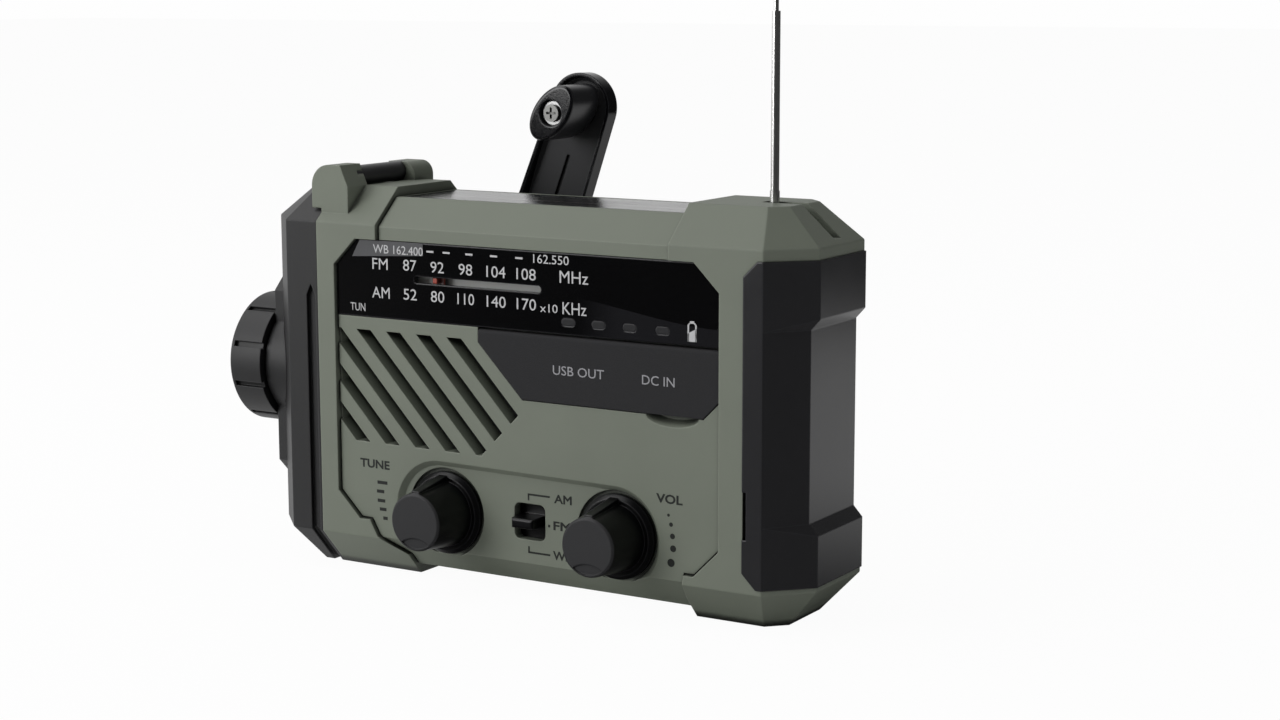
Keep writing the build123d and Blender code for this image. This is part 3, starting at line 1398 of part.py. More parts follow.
with BuildPart() as speaker_frame:
    speaker_ring(
        (SPEAKER_FRONT, SPEAKER_RADIUS),
        (SPEAKER_FRONT, SPEAKER_RADIUS - SPEAKER_LIP),
        (BASKET_FRONT, SPEAKER_RADIUS - SPEAKER_LIP),
        (MAGNET_FRONT - BASKET_WALL, MAGNET_RADIUS),
        (MAGNET_FRONT - BASKET_WALL, MAGNET_RADIUS / 2),
        (MAGNET_FRONT, MAGNET_RADIUS / 2),
        (MAGNET_FRONT, MAGNET_RADIUS + BASKET_WALL),
        (BASKET_FRONT, SPEAKER_RADIUS - SPEAKER_LIP + BASKET_WALL),
        (BASKET_FRONT, SPEAKER_RADIUS),
    )
write(speaker_frame, "speaker_frame")

with BuildPart() as speaker_cone:
    speaker_ring(
        (SPEAKER_FRONT + CONE_THICK, SPEAKER_RADIUS - SPEAKER_LIP),
        (SPEAKER_FRONT + 2 * CONE_THICK, SPEAKER_RADIUS - SPEAKER_LIP),
        (SPEAKER_FRONT + CONE_DEPTH, MAGNET_RADIUS / 2),
        (SPEAKER_FRONT + CONE_DEPTH, 0),
        (SPEAKER_FRONT + CONE_DEPTH - CONE_THICK, 0),
        (SPEAKER_FRONT + CONE_DEPTH - CONE_THICK, MAGNET_RADIUS / 2),
    )
write(speaker_cone, "speaker_cone")

with BuildPart() as speaker_magnet:
    disc(SPEAKER_X, SPEAKER_Z, MAGNET_RADIUS, MAGNET_FRONT, MAGNET_FRONT + MAGNET_THICK)
write(speaker_magnet, "speaker_magnet")

# Circuit board and battery

with BuildPart() as main_circuit_board:
    block(BOARD_LEFT, BOARD_RIGHT, BOARD_FRONT, BOARD_FRONT + BOARD_THICK, BOARD_LOW, BOARD_TOP)
    for across, height in SCREW_PLACES:
        disc(across, height, POST_RADIUS + POST_CLEAR, 0, DEPTH, mode=Mode.SUBTRACT)
write(main_circuit_board, "main_circuit_board")

with BuildPart() as battery_tray:
    block(TRAY_LEFT, TRAY_RIGHT, TRAY_FRONT, REAR_INNER, TRAY_LOW, TRAY_TOP)
    add(cavity.part, mode=Mode.INTERSECT)
    block(DOOR_LEFT, DOOR_RIGHT, TRAY_FRONT + TRAY_WALL, DEPTH, DOOR_LOW, DOOR_TOP, mode=Mode.SUBTRACT)
write(battery_tray, "battery_tray")

with BuildPart() as battery_cells:
    for cell in range(CELL_COUNT):
        with BuildSketch(side(CELL_X - CELL_LENGTH / 2)):
            with Locations((CELL_Y, DOOR_LOW + CELL_PITCH * (cell + 0.5))):
                Circle(CELL_RADIUS)
        extrude(amount=CELL_LENGTH)
write(battery_cells, "battery_cells")

with BuildPart() as battery_door:
    block(
        DOOR_LEFT + DOOR_FIT,
        DOOR_RIGHT - DOOR_FIT,
        DOOR_FRONT,
        REAR_FACE,
        DOOR_LOW + DOOR_FIT,
        DOOR_TOP - DOOR_FIT,
    )
    with BuildSketch(front(REAR_FACE)):
        with Locations((CELL_X, DOOR_TOP - DOOR_NOTCH_DROP)):
            SlotOverall(DOOR_NOTCH_WIDE, DOOR_NOTCH)
    extrude(amount=DOOR_NOTCH_DEEP, mode=Mode.SUBTRACT)
write(battery_door, "battery_door")

# Crank

HUB_AXIS = depth_axis(CRANK_X, CRANK_Z)
HUB_BACK = HUB_FLOOR + HUB_FLOAT
EAR_INNER = TONGUE_WIDE / 2 + TONGUE_GAP

with BuildPart() as crank_hub:
    with BuildSketch(side(CRANK_X)):
        with BuildLine():
            Polyline(
                (GEAR_FRONT - AXLE_END, CRANK_Z),
                (GEAR_FRONT - AXLE_END, CRANK_Z + AXLE_RADIUS),
                (HUB_BACK, CRANK_Z + AXLE_RADIUS),
                (HUB_BACK, CRANK_Z + HUB_RADIUS),
                (HUB_BACK + HUB_RIM, CRANK_Z + HUB_RADIUS),
            )
            ThreePointArc(
                (HUB_BACK + HUB_RIM, CRANK_Z + HUB_RADIUS),
                ((HUB_BACK + HUB_TOP) / 2, CRANK_Z + HUB_WAIST),
                (HUB_TOP - HUB_RIM, CRANK_Z + HUB_RADIUS),
            )
            Polyline(
                (HUB_TOP - HUB_RIM, CRANK_Z + HUB_RADIUS),
                (HUB_TOP, CRANK_Z + HUB_RADIUS),
                (HUB_TOP, CRANK_Z),
                (GEAR_FRONT - AXLE_END, CRANK_Z),
            )
        make_face()
    revolve(axis=HUB_AXIS)
    for ear in (EAR_INNER, -EAR_INNER - EAR_THICK):
        with BuildSketch(crank_side(ear)):
            with Locations((0, -PIN_Y)):
                Circle(EYE_RADIUS)
            with Locations((0, -(HUB_TOP + PIN_Y) / 2)):
                Rectangle(2 * EYE_RADIUS, PIN_Y - HUB_TOP)
        extrude(amount=EAR_THICK)
    with BuildSketch(crank_side(-EAR_INNER - EAR_THICK)):
        with Locations((0, -PIN_Y)):
            Circle(PIN_RADIUS)
    extrude(amount=2 * (EAR_INNER + EAR_THICK), mode=Mode.SUBTRACT)
write(crank_hub, "crank_hub")

with BuildPart() as crank_hinge_pin:
    with BuildSketch(crank_side(-EAR_INNER - EAR_THICK)):
        with Locations((0, -PIN_Y)):
            Circle(PIN_RADIUS)
    extrude(amount=2 * (EAR_INNER + EAR_THICK))
write(crank_hinge_pin, "crank_hinge_pin")


def arm_outline(rim):
    """Arm from the hinge up to its round end, narrower all round by a rim."""
    with Locations((0, ARM_START + ARM_WIDE / 4)):
        Rectangle(ARM_WIDE - 2 * rim, ARM_WIDE / 2 - 2 * rim)
    with Locations((0, CRANK_LENGTH + ARM_TIP_OVER)):
        Circle(ARM_TIP_RADIUS - rim)
    make_hull()


with BuildPart() as crank_arm:
    with BuildSketch(crank_front(ARM_REAR)):
        arm_outline(0)
    extrude(amount=ARM_THICK)
    with BuildSketch(crank_front(ARM_REAR)):
        with Locations((0, ARM_START / 2 + 0.5)):
            Rectangle(TONGUE_WIDE, ARM_START + 1)
    extrude(amount=ARM_THICK)
    with BuildSketch(crank_side(-TONGUE_WIDE / 2)):
        with Locations((0, -PIN_Y)):
            Circle(EYE_RADIUS)
    extrude(amount=TONGUE_WIDE)
    with BuildSketch(crank_front(ARM_FRONT)):
        arm_outline(CHANNEL_RIM)
    extrude(amount=-CHANNEL_DEEP, taper=CHANNEL_SLANT, mode=Mode.SUBTRACT)
    with BuildSketch(crank_front(ARM_FRONT + CHANNEL_DEEP)):
        with Locations((0, CRANK_LENGTH)):
            Circle(KNOB_BOSS)
    extrude(amount=CHANNEL_DEEP)
    with BuildSketch(crank_front(ARM_FRONT + CHANNEL_DEEP + ARM_GROOVE_DEEP)):
        with Locations((0, CRANK_LENGTH / 2)):
            Rectangle(ARM_GROOVE_WIDE, CRANK_LENGTH / 2)
    extrude(amount=ARM_GROOVE_DEEP, mode=Mode.SUBTRACT)
    with BuildSketch(crank_side(-TONGUE_WIDE / 2)):
        with Locations((0, -PIN_Y)):
            Circle(PIN_RADIUS + RUN_FIT)
    extrude(amount=TONGUE_WIDE, mode=Mode.SUBTRACT)
    with BuildSketch(crank_front(ARM_REAR)):
        with Locations((0, CRANK_LENGTH)):
            Circle(KNOB_SCREW_RADIUS)
    extrude(amount=ARM_THICK, mode=Mode.SUBTRACT)
write(crank_arm, "crank_arm")


def on_knob(radius, near, far, mode=Mode.ADD):
    """Round rod on the crank knob's axis between two depths."""
    with BuildSketch(crank_front(far)) as face:
        with Locations((0, CRANK_LENGTH)):
            Circle(radius)
    extrude(face.sketch, amount=far - near, mode=mode)


with BuildPart() as crank_knob:
    with BuildSketch(crank_front(KNOB_PIN_BACK)):
        with Locations((0, CRANK_LENGTH)):
            Ellipse(CRANK_KNOB_SHORT, CRANK_KNOB_LONG, rotation=-CRANK_KNOB_TURN)
    extrude(amount=CRANK_KNOB_LENGTH)
    fillet(edges().filter_by(GeomType.ELLIPSE), CRANK_KNOB_ROUND)
    on_knob(KNOB_SCREW_RADIUS + RUN_FIT, CRANK_KNOB_FRONT, KNOB_PIN_BACK, mode=Mode.SUBTRACT)
    on_knob(KNOB_POCKET_RADIUS, CRANK_KNOB_FRONT, WASHER_BACK, mode=Mode.SUBTRACT)
write(crank_knob, "crank_knob")

with BuildPart() as crank_knob_washer:
    on_knob(WASHER_RADIUS, WASHER_BACK - WASHER_THICK, WASHER_BACK)
    on_knob(KNOB_SCREW_RADIUS, WASHER_BACK - WASHER_THICK, WASHER_BACK, mode=Mode.SUBTRACT)
write(crank_knob_washer, "crank_knob_washer")

with BuildPart() as crank_knob_screw:
    on_knob(KNOB_SCREW_RADIUS, WASHER_BACK - WASHER_THICK, ARM_REAR)
    on_knob(
        SCREW_HEAD_RADIUS,
        WASHER_BACK - WASHER_THICK - SCREW_HEAD_THICK,
        WASHER_BACK - WASHER_THICK,
    )
write(crank_knob_screw, "crank_knob_screw")

# Gear train and generator


def gear(across, height, teeth, near, far, turn=0):
    """Gear on a depth axis between two depths."""
    plane = Plane(
        origin=(BODY_X + across, FRONT_Y + far, height),
        x_dir=(1, 0, 0),
        z_dir=(0, -1, 0),
    )
    with BuildSketch(plane) as face:
        gear_outline(teeth, turn)
    extrude(face.sketch, amount=far - near)


with BuildPart() as crank_gear:
    gear(CRANK_X, CRANK_Z, CRANK_TEETH, GEAR_FRONT, GEAR_REAR, TRAIN_TURN)
    disc(CRANK_X, CRANK_Z, AXLE_RADIUS, GEAR_FRONT, GEAR_REAR, mode=Mode.SUBTRACT)
write(crank_gear, "crank_gear")

# The intermediate pinion meets the crank gear tooth in gap, and so does the next pair.
PINION_TURN = TRAIN_TURN + 180 + 180 / PINION_TEETH

with BuildPart() as intermediate_gear:
    gear(WHEEL_X, WHEEL_Z, WHEEL_TEETH, WHEEL_FRONT, WHEEL_REAR, GENERATOR_TURN)
    gear(WHEEL_X, WHEEL_Z, PINION_TEETH, WHEEL_REAR - 0.5, GEAR_REAR, PINION_TURN)
    disc(WHEEL_X, WHEEL_Z, GEAR_AXLE_RADIUS + RUN_FIT, WHEEL_FRONT, GEAR_REAR, mode=Mode.SUBTRACT)
write(intermediate_gear, "intermediate_gear")

with BuildPart() as intermediate_axle:
    disc(WHEEL_X, WHEEL_Z, GEAR_AXLE_RADIUS, PLATE_FRONT, REAR_INNER + AXLE_SEAT)
write(intermediate_axle, "intermediate_axle")

with BuildPart() as generator_pinion:
    gear(
        GENERATOR_X,
        GENERATOR_Z,
        PINION_TEETH,
        WHEEL_FRONT,
        WHEEL_REAR,
        GENERATOR_TURN + 180 + 180 / PINION_TEETH,
    )
    disc(GENERATOR_X, GENERATOR_Z, SHAFT_RADIUS, PLATE_FRONT - SHAFT_SEAT, WHEEL_REAR + SHAFT_END)
write(generator_pinion, "generator_pinion")

with BuildPart() as generator:
    disc(GENERATOR_X, GENERATOR_Z, GENERATOR_RADIUS, PLATE_FRONT - GENERATOR_DEPTH, PLATE_FRONT)
    disc(
        GENERATOR_X,
        GENERATOR_Z,
        SHAFT_RADIUS + RUN_FIT,
        PLATE_FRONT - SHAFT_SEAT - RUN_FIT,
        PLATE_FRONT,
        mode=Mode.SUBTRACT,
    )
write(generator, "generator")

with BuildPart() as gearbox_plate:
    with BuildSketch(front(PLATE_REAR)):
        with Locations(*PLATE_POSTS):
            Circle(PLATE_EDGE)
        with Locations((GENERATOR_X, GENERATOR_Z)):
            Circle(PLATE_BOSS)
        make_hull()
        with Locations((WHEEL_X, WHEEL_Z)):
            Circle(GEAR_AXLE_RADIUS, mode=Mode.SUBTRACT)
        with Locations((GENERATOR_X, GENERATOR_Z)):
            Circle(SHAFT_RADIUS + SHAFT_CLEAR, mode=Mode.SUBTRACT)
    extrude(amount=PLATE_THICK)
write(gearbox_plate, "gearbox_plate")

# Antenna

with BuildPart() as antenna_pivot_pin:
    disc(
        ANTENNA_X,
        ANTENNA_PIVOT_Z,
        PIVOT_RADIUS,
        MIDDLE - ANTENNA_BLOCK_DEPTH / 2 + PIVOT_SHORT,
        MIDDLE + ANTENNA_BLOCK_DEPTH / 2,
    )
write(antenna_pivot_pin, "antenna_pivot_pin")

with BuildPart() as antenna_knuckle:
    disc(ANTENNA_X, ANTENNA_PIVOT_Z, KNUCKLE_RADIUS, MIDDLE - KNUCKLE_THICK / 2, MIDDLE + KNUCKLE_THICK / 2)
    with BuildSketch(level(ANTENNA_PIVOT_Z)):
        with Locations((ANTENNA_X, MIDDLE)):
            Circle(NECK_RADIUS)
    extrude(amount=KNUCKLE_TOP - ANTENNA_PIVOT_Z)
    disc(
        ANTENNA_X,
        ANTENNA_PIVOT_Z,
        PIVOT_RADIUS + RUN_FIT,
        MIDDLE - KNUCKLE_THICK,
        MIDDLE + KNUCKLE_THICK,
        mode=Mode.SUBTRACT,
    )
write(antenna_knuckle, "antenna_knuckle")


def rod(radius, low, high, mode=Mode.ADD):
    """Upright rod on the antenna's axis."""
    with BuildSketch(level(low)) as face:
        with Locations((ANTENNA_X, MIDDLE)):
            Circle(radius)
    extrude(face.sketch, amount=high - low, mode=mode)


with BuildPart() as antenna_lower_tube:
    rod(LOWER_TUBE_RADIUS, KNUCKLE_TOP, LOWER_TUBE_TOP)
    rod(ANTENNA_BORE, KNUCKLE_TOP + LOWER_TUBE_END, LOWER_TUBE_TOP, mode=Mode.SUBTRACT)
write(antenna_lower_tube, "antenna_lower_tube")

ROD_TOP = LOWER_TUBE_TOP + UPPER_ROD_SHOWN

with BuildPart() as antenna_upper_rod:
    rod(UPPER_ROD_RADIUS, LOWER_TUBE_TOP - UPPER_ROD_HIDDEN, ROD_TOP)
write(antenna_upper_rod, "antenna_upper_rod")

with BuildPart() as antenna_tip:
    rod(TIP_RADIUS, ROD_TOP, ROD_TOP + TIP_LENGTH)
    fillet(edges().group_by(Axis.Z)[-1], TIP_ROUND)
write(antenna_tip, "antenna_tip")

# Screws

SCREW_SEAT = REAR_FACE - SCREW_HEAD_DEEP

with BuildPart() as case_screws:
    for across, height in SCREW_PLACES:
        disc(across, height, HEAD_HOLE - HEAD_SET, SCREW_SEAT, REAR_FACE - HEAD_SET)
        disc(across, height, SCREW_RADIUS, SCREW_SEAT - SCREW_LENGTH, SCREW_SEAT)
write(case_screws, "case_screws")
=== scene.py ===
import json
import math

import bmesh
import bpy
from mathutils import Matrix, Vector


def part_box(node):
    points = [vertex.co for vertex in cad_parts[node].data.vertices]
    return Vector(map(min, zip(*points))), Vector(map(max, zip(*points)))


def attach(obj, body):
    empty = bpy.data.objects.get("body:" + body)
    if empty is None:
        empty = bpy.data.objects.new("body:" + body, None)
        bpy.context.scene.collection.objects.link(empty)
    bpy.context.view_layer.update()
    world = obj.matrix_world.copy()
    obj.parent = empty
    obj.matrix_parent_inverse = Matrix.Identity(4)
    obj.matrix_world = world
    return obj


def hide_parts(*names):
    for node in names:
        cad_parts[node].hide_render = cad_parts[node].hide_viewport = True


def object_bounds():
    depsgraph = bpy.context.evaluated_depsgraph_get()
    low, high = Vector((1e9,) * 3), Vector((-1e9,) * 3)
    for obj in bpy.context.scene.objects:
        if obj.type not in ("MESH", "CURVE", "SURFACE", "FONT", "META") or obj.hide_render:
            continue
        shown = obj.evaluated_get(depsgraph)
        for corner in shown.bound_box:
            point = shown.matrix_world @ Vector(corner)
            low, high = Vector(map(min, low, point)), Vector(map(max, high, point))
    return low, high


# A hand-cranked emergency radio: finishes, printed marks, screw recesses and studio
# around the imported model. Lengths are in metres, and MM turns millimetres into them.

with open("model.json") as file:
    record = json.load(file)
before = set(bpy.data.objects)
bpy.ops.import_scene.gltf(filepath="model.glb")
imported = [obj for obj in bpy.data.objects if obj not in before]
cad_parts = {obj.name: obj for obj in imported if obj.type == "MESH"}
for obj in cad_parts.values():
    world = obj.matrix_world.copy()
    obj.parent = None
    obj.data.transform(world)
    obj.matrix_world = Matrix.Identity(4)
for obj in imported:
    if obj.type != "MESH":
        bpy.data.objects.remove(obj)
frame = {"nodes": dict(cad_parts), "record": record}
cad_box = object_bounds()

MM = 0.001

# Camera
CAMERA_LENS = 65.0
CAMERA_SENSOR = 36.0
CAMERA_CLIP = (0.01, 20.0)
CAMERA_TURN = math.radians(31.06)
CAMERA_RISE = math.radians(9.28)
CAMERA_ROLL = math.radians(-0.07)
CAMERA_PLACE = Vector((0.27399, -0.41398, 0.12858))

# Light: lamps by name, place, size and power
SOFT_LIGHT = 0.36
LAMPS = (
    ("top_lamp", (-0.45, -0.25, 0.85), 0.7, 3.2),
    ("left_lamp", (-0.6, -0.85, 0.35), 0.6, 5.6),
)
WHITE = (1.0, 1.0, 1.0, 1.0)
BACKDROP_LIGHT = 0.99

# Mirrored surroundings: bright towards one side, with a glow on the floor beside the radio
BRIGHT_SIDE = (-0.90, 0.42, 0.15)
SIDE_EASE = (0.1, 0.95)
SIDE_LIGHT = (0.04, 0.9)
GLOW_PLACE = (0.19, 0.22, 0.0)
GLOW_EASE = (0.27, 0.10)
GLOW_LIGHT = (0.0, 0.7)

# Floor
FLOOR_HALF = 6.0
FLOOR_GAP = 0.02 * MM
FLOOR_COLOUR = (0.86, 0.86, 0.86, 1.0)
FLOOR_ROUGH = 0.9
FLOOR_SHOWN = 0.96

# Print
INK_THICK = 0.04 * MM
INK_SINK = 0.02 * MM
LETTER_DEEP = 0.5
PANEL_DEEP = 1.2 * MM
PANEL_BOLD = 0.03
SWITCH_BOLD = 0.025
DOT_SIDES = 24

# Screws: the recess reaches out from its middle, and half its arm's width is a share of that reach
RECESS_DEEP = 0.5 * MM
RECESS_HALF = 0.22
KNOB_RECESS = 1.25 * MM
CASE_RECESS = 1.2 * MM
ONE_PLANE = 0.02 * MM
WELD = 1e-6
CUT_NEAR = 1e-7

# Finishes: linear colours
GREEN = (0.162, 0.180, 0.144)
BLACK = (0.0112, 0.0112, 0.0122)
PAINT_WHITE = (0.52, 0.52, 0.53)
PAINT_BLACK = (0.010, 0.012, 0.010)

# Surfaces: edges with their painted highlights, corners with their painted shade, noise features per metre,
# and fine working marks in millimetres
EDGE_RADIUS = 0.4 * MM
CLEAR_RADIUS = 0.2 * MM
EDGE_GAIN = 9.0
RAY_SAMPLES = 6
OPEN_SKY = 0.85
GRAIN_SCALE = 5200.0
FLOW_SCALE = 60.0
SMEAR_SCALE = 180.0
MARK_SCALE = (4000.0, 4000.0, 60.0)
FINE_MARKS = 0.001
CLEAR_INDEX = 1.5
THIN_INK = 0.82

# How far a face has to look to the front, as the share of its normal
TO_FRONT = 0.5


# ---------------------------------------------------------------- node groups

def put(tree, value, target):
    """Feed a socket from another socket, or set it to a plain value."""
    if isinstance(value, bpy.types.NodeSocket):
        tree.links.new(value, target)
    else:
        target.default_value = value


def new_group(name, inputs):
    """Start a surface node group with (name, kind, value) inputs."""
    tree = bpy.data.node_groups.new(name, "ShaderNodeTree")
    for label, kind, value in inputs:
        made = tree.interface.new_socket(name=label, in_out="INPUT", socket_type="NodeSocket" + kind)
        made.default_value = value
    for label, kind in (("Color", "Color"), ("Roughness", "Float"), ("Normal", "Vector")):
        tree.interface.new_socket(name=label, in_out="OUTPUT", socket_type="NodeSocket" + kind)
    return tree, tree.nodes.new("NodeGroupInput"), tree.nodes.new("NodeGroupOutput")


def math_node(tree, operation, *values, clamp=False):
    """Place a math node and feed it from sockets or plain numbers."""
    node = tree.nodes.new("ShaderNodeMath")
    node.operation = operation
    node.use_clamp = clamp
    for value, target in zip(values, node.inputs):
        put(tree, value, target)
    return node.outputs[0]


def vector_node(tree, operation, *values):
    """Place a vector math node and feed it from sockets or plain triples."""
    node = tree.nodes.new("ShaderNodeVectorMath")
    node.operation = operation
    for value, target in zip(values, node.inputs):
        put(tree, value, target)
    return node.outputs["Value" if operation in ("DOT_PRODUCT", "DISTANCE") else "Vector"]


def scaled(tree, vector, factor):
    """Multiply a colour by one number."""
    node = tree.nodes.new("ShaderNodeVectorMath")
    node.operation = "SCALE"
    tree.links.new(vector, node.inputs[0])
    tree.links.new(factor, node.inputs["Scale"])
    return node.outputs["Vector"]


def mixed(tree, share, first, second):
    """Mix two colours by a share; each may be a socket or a colour."""
    node = tree.nodes.new("ShaderNodeMix")
    node.data_type = "RGBA"
    for name, value in (("Factor", share), ("A", first), ("B", second)):
        target = [s for s in node.inputs if s.name == name and s.enabled][0]
        put(tree, (*value, 1.0) if isinstance(value, tuple) else value, target)
    return [s for s in node.outputs if s.enabled][0]


def mixed_number(tree, share, first, second):
    """Mix two numbers by a share."""
    node = tree.nodes.new("ShaderNodeMix")
    for name, value in (("Factor", share), ("A", first), ("B", second)):
        put(tree, value, node.inputs[name])
    return node.outputs["Result"]


def noise(tree, where, scale, detail):
    """Noise texture read at a place, by features per metre."""
    node = tree.nodes.new("ShaderNodeTexNoise")
    node.inputs["Scale"].default_value = scale
    node.inputs["Detail"].default_value = detail
    tree.links.new(where, node.inputs["Vector"])
    return node.outputs["Fac"]


def object_place(tree):
    """Place on the piece, from its own coordinates."""
    return tree.nodes.new("ShaderNodeTexCoord").outputs["Object"]


def split(tree, where, axis):
    """One axis of a place or direction."""
    node = tree.nodes.new("ShaderNodeSeparateXYZ")
    tree.links.new(where, node.inputs[0])
    return node.outputs[axis]


def eased(tree, value, low, high, first=0.0, last=1.0):
    """Change smoothly from first to last while a value goes from low to high."""
    node = tree.nodes.new("ShaderNodeMapRange")
    node.interpolation_type = "SMOOTHSTEP"
    for name, number in (("From Min", low), ("From Max", high), ("To Min", first), ("To Max", last)):
        node.inputs[name].default_value = number
    tree.links.new(value, node.inputs["Value"])
    return node.outputs["Result"]


def wavering(tree, value, middle, swing):
    """Let a number waver round a middle with a noise that goes from 0 to 1."""
    return math_node(tree, "MULTIPLY_ADD", value, swing, middle - swing / 2)


def bumped(tree, height, distance):
    """Bump node raised by a height mask over a distance."""
    node = tree.nodes.new("ShaderNodeBump")
    tree.links.new(height, node.inputs["Height"])
    put(tree, distance, node.inputs["Distance"])
    return node


def shaded_corners(tree, colour, reach, hidden, darkest):
    """Darken a colour where its surroundings within reach hide the sky."""
    sky = tree.nodes.new("ShaderNodeAmbientOcclusion")
    sky.samples = RAY_SAMPLES
    sky.inputs["Distance"].default_value = reach
    return scaled(tree, colour, eased(tree, sky.outputs["AO"], hidden, OPEN_SKY, darkest, 1.0))


def rough_out(tree, given, out, value, swing):
    """Let the group's roughness waver with a noise."""
    polish = wavering(tree, value, 0.0, swing)
    rough = math_node(tree, "ADD", polish, given.outputs["Roughness"], clamp=True)
    tree.links.new(rough, out.inputs["Roughness"])


def make_moulded_group():
    """Moulded plastic: eased edges, a fine spark-eroded grain, faint flow marks, painted edge highlights and
    painted shade in corners.
    """
    tree, given, out = new_group(
        "moulded_plastic",
        [
            ("Color", "Color", (0.2, 0.2, 0.2, 1.0)),
            ("Edge Color", "Color", (0.3, 0.3, 0.3, 1.0)),
            ("Edge Share", "Float", 0.5),
            ("Edge Radius", "Float", EDGE_RADIUS),
            ("Roughness", "Float", 0.5),
            ("Grain Depth", "Float", 0.02 * MM),
        ],
    )
    where = object_place(tree)
    round_edge = tree.nodes.new("ShaderNodeBevel")
    round_edge.samples = RAY_SAMPLES
    tree.links.new(given.outputs["Edge Radius"], round_edge.inputs["Radius"])
    flat = tree.nodes.new("ShaderNodeNewGeometry").outputs["Normal"]
    turned = vector_node(tree, "DOT_PRODUCT", round_edge.outputs["Normal"], flat)
    # painted highlight: where the eased normal turns away from the flat one, a lighter edge colour is mixed
    # in
    edge = math_node(tree, "MULTIPLY", math_node(tree, "SUBTRACT", 1.0, turned), EDGE_GAIN, clamp=True)
    edge_highlight = math_node(tree, "MULTIPLY", edge, given.outputs["Edge Share"])
    fine = noise(tree, where, GRAIN_SCALE, detail=2.0)
    flow = noise(tree, where, FLOW_SCALE, detail=4.0)
    toned = scaled(tree, given.outputs["Color"], wavering(tree, flow, middle=1.0, swing=0.16))
    highlighted_colour = mixed(tree, edge_highlight, toned, given.outputs["Edge Color"])
    # painted shade: the colour is darkened in corners, creases and recesses
    shaded = shaded_corners(tree, highlighted_colour, reach=2.2 * MM, hidden=0.35, darkest=0.15)
    tree.links.new(shaded, out.inputs["Color"])
    rough_out(tree, given, out, flow, swing=0.10)
    bump = bumped(tree, fine, given.outputs["Grain Depth"])
    tree.links.new(round_edge.outputs["Normal"], bump.inputs["Normal"])
    tree.links.new(bump.outputs["Normal"], out.inputs["Normal"])
    return tree


def make_metal_group():
    """Metal: drawn or turned marks that stretch along one direction, faint smears, and painted shade in its
    hollows.
    """
    tree, given, out = new_group(
        "worked_metal",
        [
            ("Color", "Color", (0.7, 0.7, 0.7, 1.0)),
            ("Roughness", "Float", 0.2),
            ("Mark Scale", "Vector", MARK_SCALE),
            ("Mark Depth", "Float", 0.004 * MM),
        ],
    )
    where = object_place(tree)
    stretched = vector_node(tree, "MULTIPLY", where, given.outputs["Mark Scale"])
    marks = noise(tree, stretched, 1.0, detail=2.0)
    smear = noise(tree, where, SMEAR_SCALE, detail=3.0)
    toned = scaled(tree, given.outputs["Color"], wavering(tree, smear, middle=1.0, swing=0.12))
    # painted shade: the colour is darkened in recesses, such as the screws' cross recesses
    shaded = shaded_corners(tree, toned, reach=0.8 * MM, hidden=0.3, darkest=0.05)
    tree.links.new(shaded, out.inputs["Color"])
    rough_out(tree, given, out, smear, swing=0.12)
    bump = bumped(tree, marks, given.outputs["Mark Depth"])
    tree.links.new(bump.outputs["Normal"], out.inputs["Normal"])
    return tree


MOULDED = make_moulded_group()
METAL = make_metal_group()


# ------------------------------------------------------------------- finishes

def new_material(name):
    """Empty node material with its shader, linked to the output."""
    made = bpy.data.materials.new(name)
    made.use_nodes = True
    return made, made.node_tree, made.node_tree.nodes["Principled BSDF"]


def feed(tree, shader, group, **values):
    """Place a shared group, set its values and feed the shader's colour, roughness and normal."""
    node = tree.nodes.new("ShaderNodeGroup")
    node.node_tree = group
    for name, value in values.items():
        target = node.inputs[name.replace("_", " ").title()]
        if isinstance(value, tuple) and target.type == "RGBA":
            value = (*value, 1.0)
        target.default_value = value
    tree.links.new(node.outputs["Color"], shader.inputs["Base Color"])
    tree.links.new(node.outputs["Roughness"], shader.inputs["Roughness"])
    tree.links.new(node.outputs["Normal"], shader.inputs["Normal"])


def plastic(name, colour, roughness, grain=0.02, edge=None, edge_share=0.6, gloss=0.5):
    """Moulded plastic or rubber; grain in millimetres; edge is the colour of the painted edge highlight."""
    made, tree, shader = new_material(name)
    feed(
        tree,
        shader,
        MOULDED,
        color=colour,
        # painted highlight: unless given, the edge colour is a lighter copy of the plastic's own colour
        edge_color=edge or tuple(min(1.0, 1.5 * c + 0.02) for c in colour),
        edge_share=edge_share,
        edge_radius=EDGE_RADIUS,
        roughness=roughness,
        grain_depth=grain * MM,
    )
    shader.inputs["Specular IOR Level"].default_value = gloss
    return made


def metal(name, colour, roughness, depth=0.004):
    """Bare or plated metal, with its working marks; depth in millimetres."""
    made, tree, shader = new_material(name)
    feed(
        tree,
        shader,
        METAL,
        color=colour,
        roughness=roughness,
        mark_scale=MARK_SCALE,
        mark_depth=depth * MM,
    )
    shader.inputs["Metallic"].default_value = 1.0
    return made


def clear(name, colour, roughness):
    """Clear moulded plastic."""
    made, tree, shader = new_material(name)
    feed(
        tree,
        shader,
        MOULDED,
        color=colour,
        edge_color=colour,
        edge_share=0.0,
        edge_radius=CLEAR_RADIUS,
        roughness=roughness,
        grain_depth=0.0,
    )
    shader.inputs["Transmission Weight"].default_value = 1.0
    shader.inputs["IOR"].default_value = CLEAR_INDEX
    return made


def stripes(tree, where, axis, pitch, width):
    """Mask of thin lines across one axis, evenly spaced by a pitch."""
    step = math_node(tree, "DIVIDE", split(tree, where, axis), pitch)
    near = math_node(tree, "SUBTRACT", math_node(tree, "FRACT", step), 0.5)
    off = math_node(tree, "ABSOLUTE", near)
    return math_node(tree, "LESS_THAN", off, width / pitch / 2)


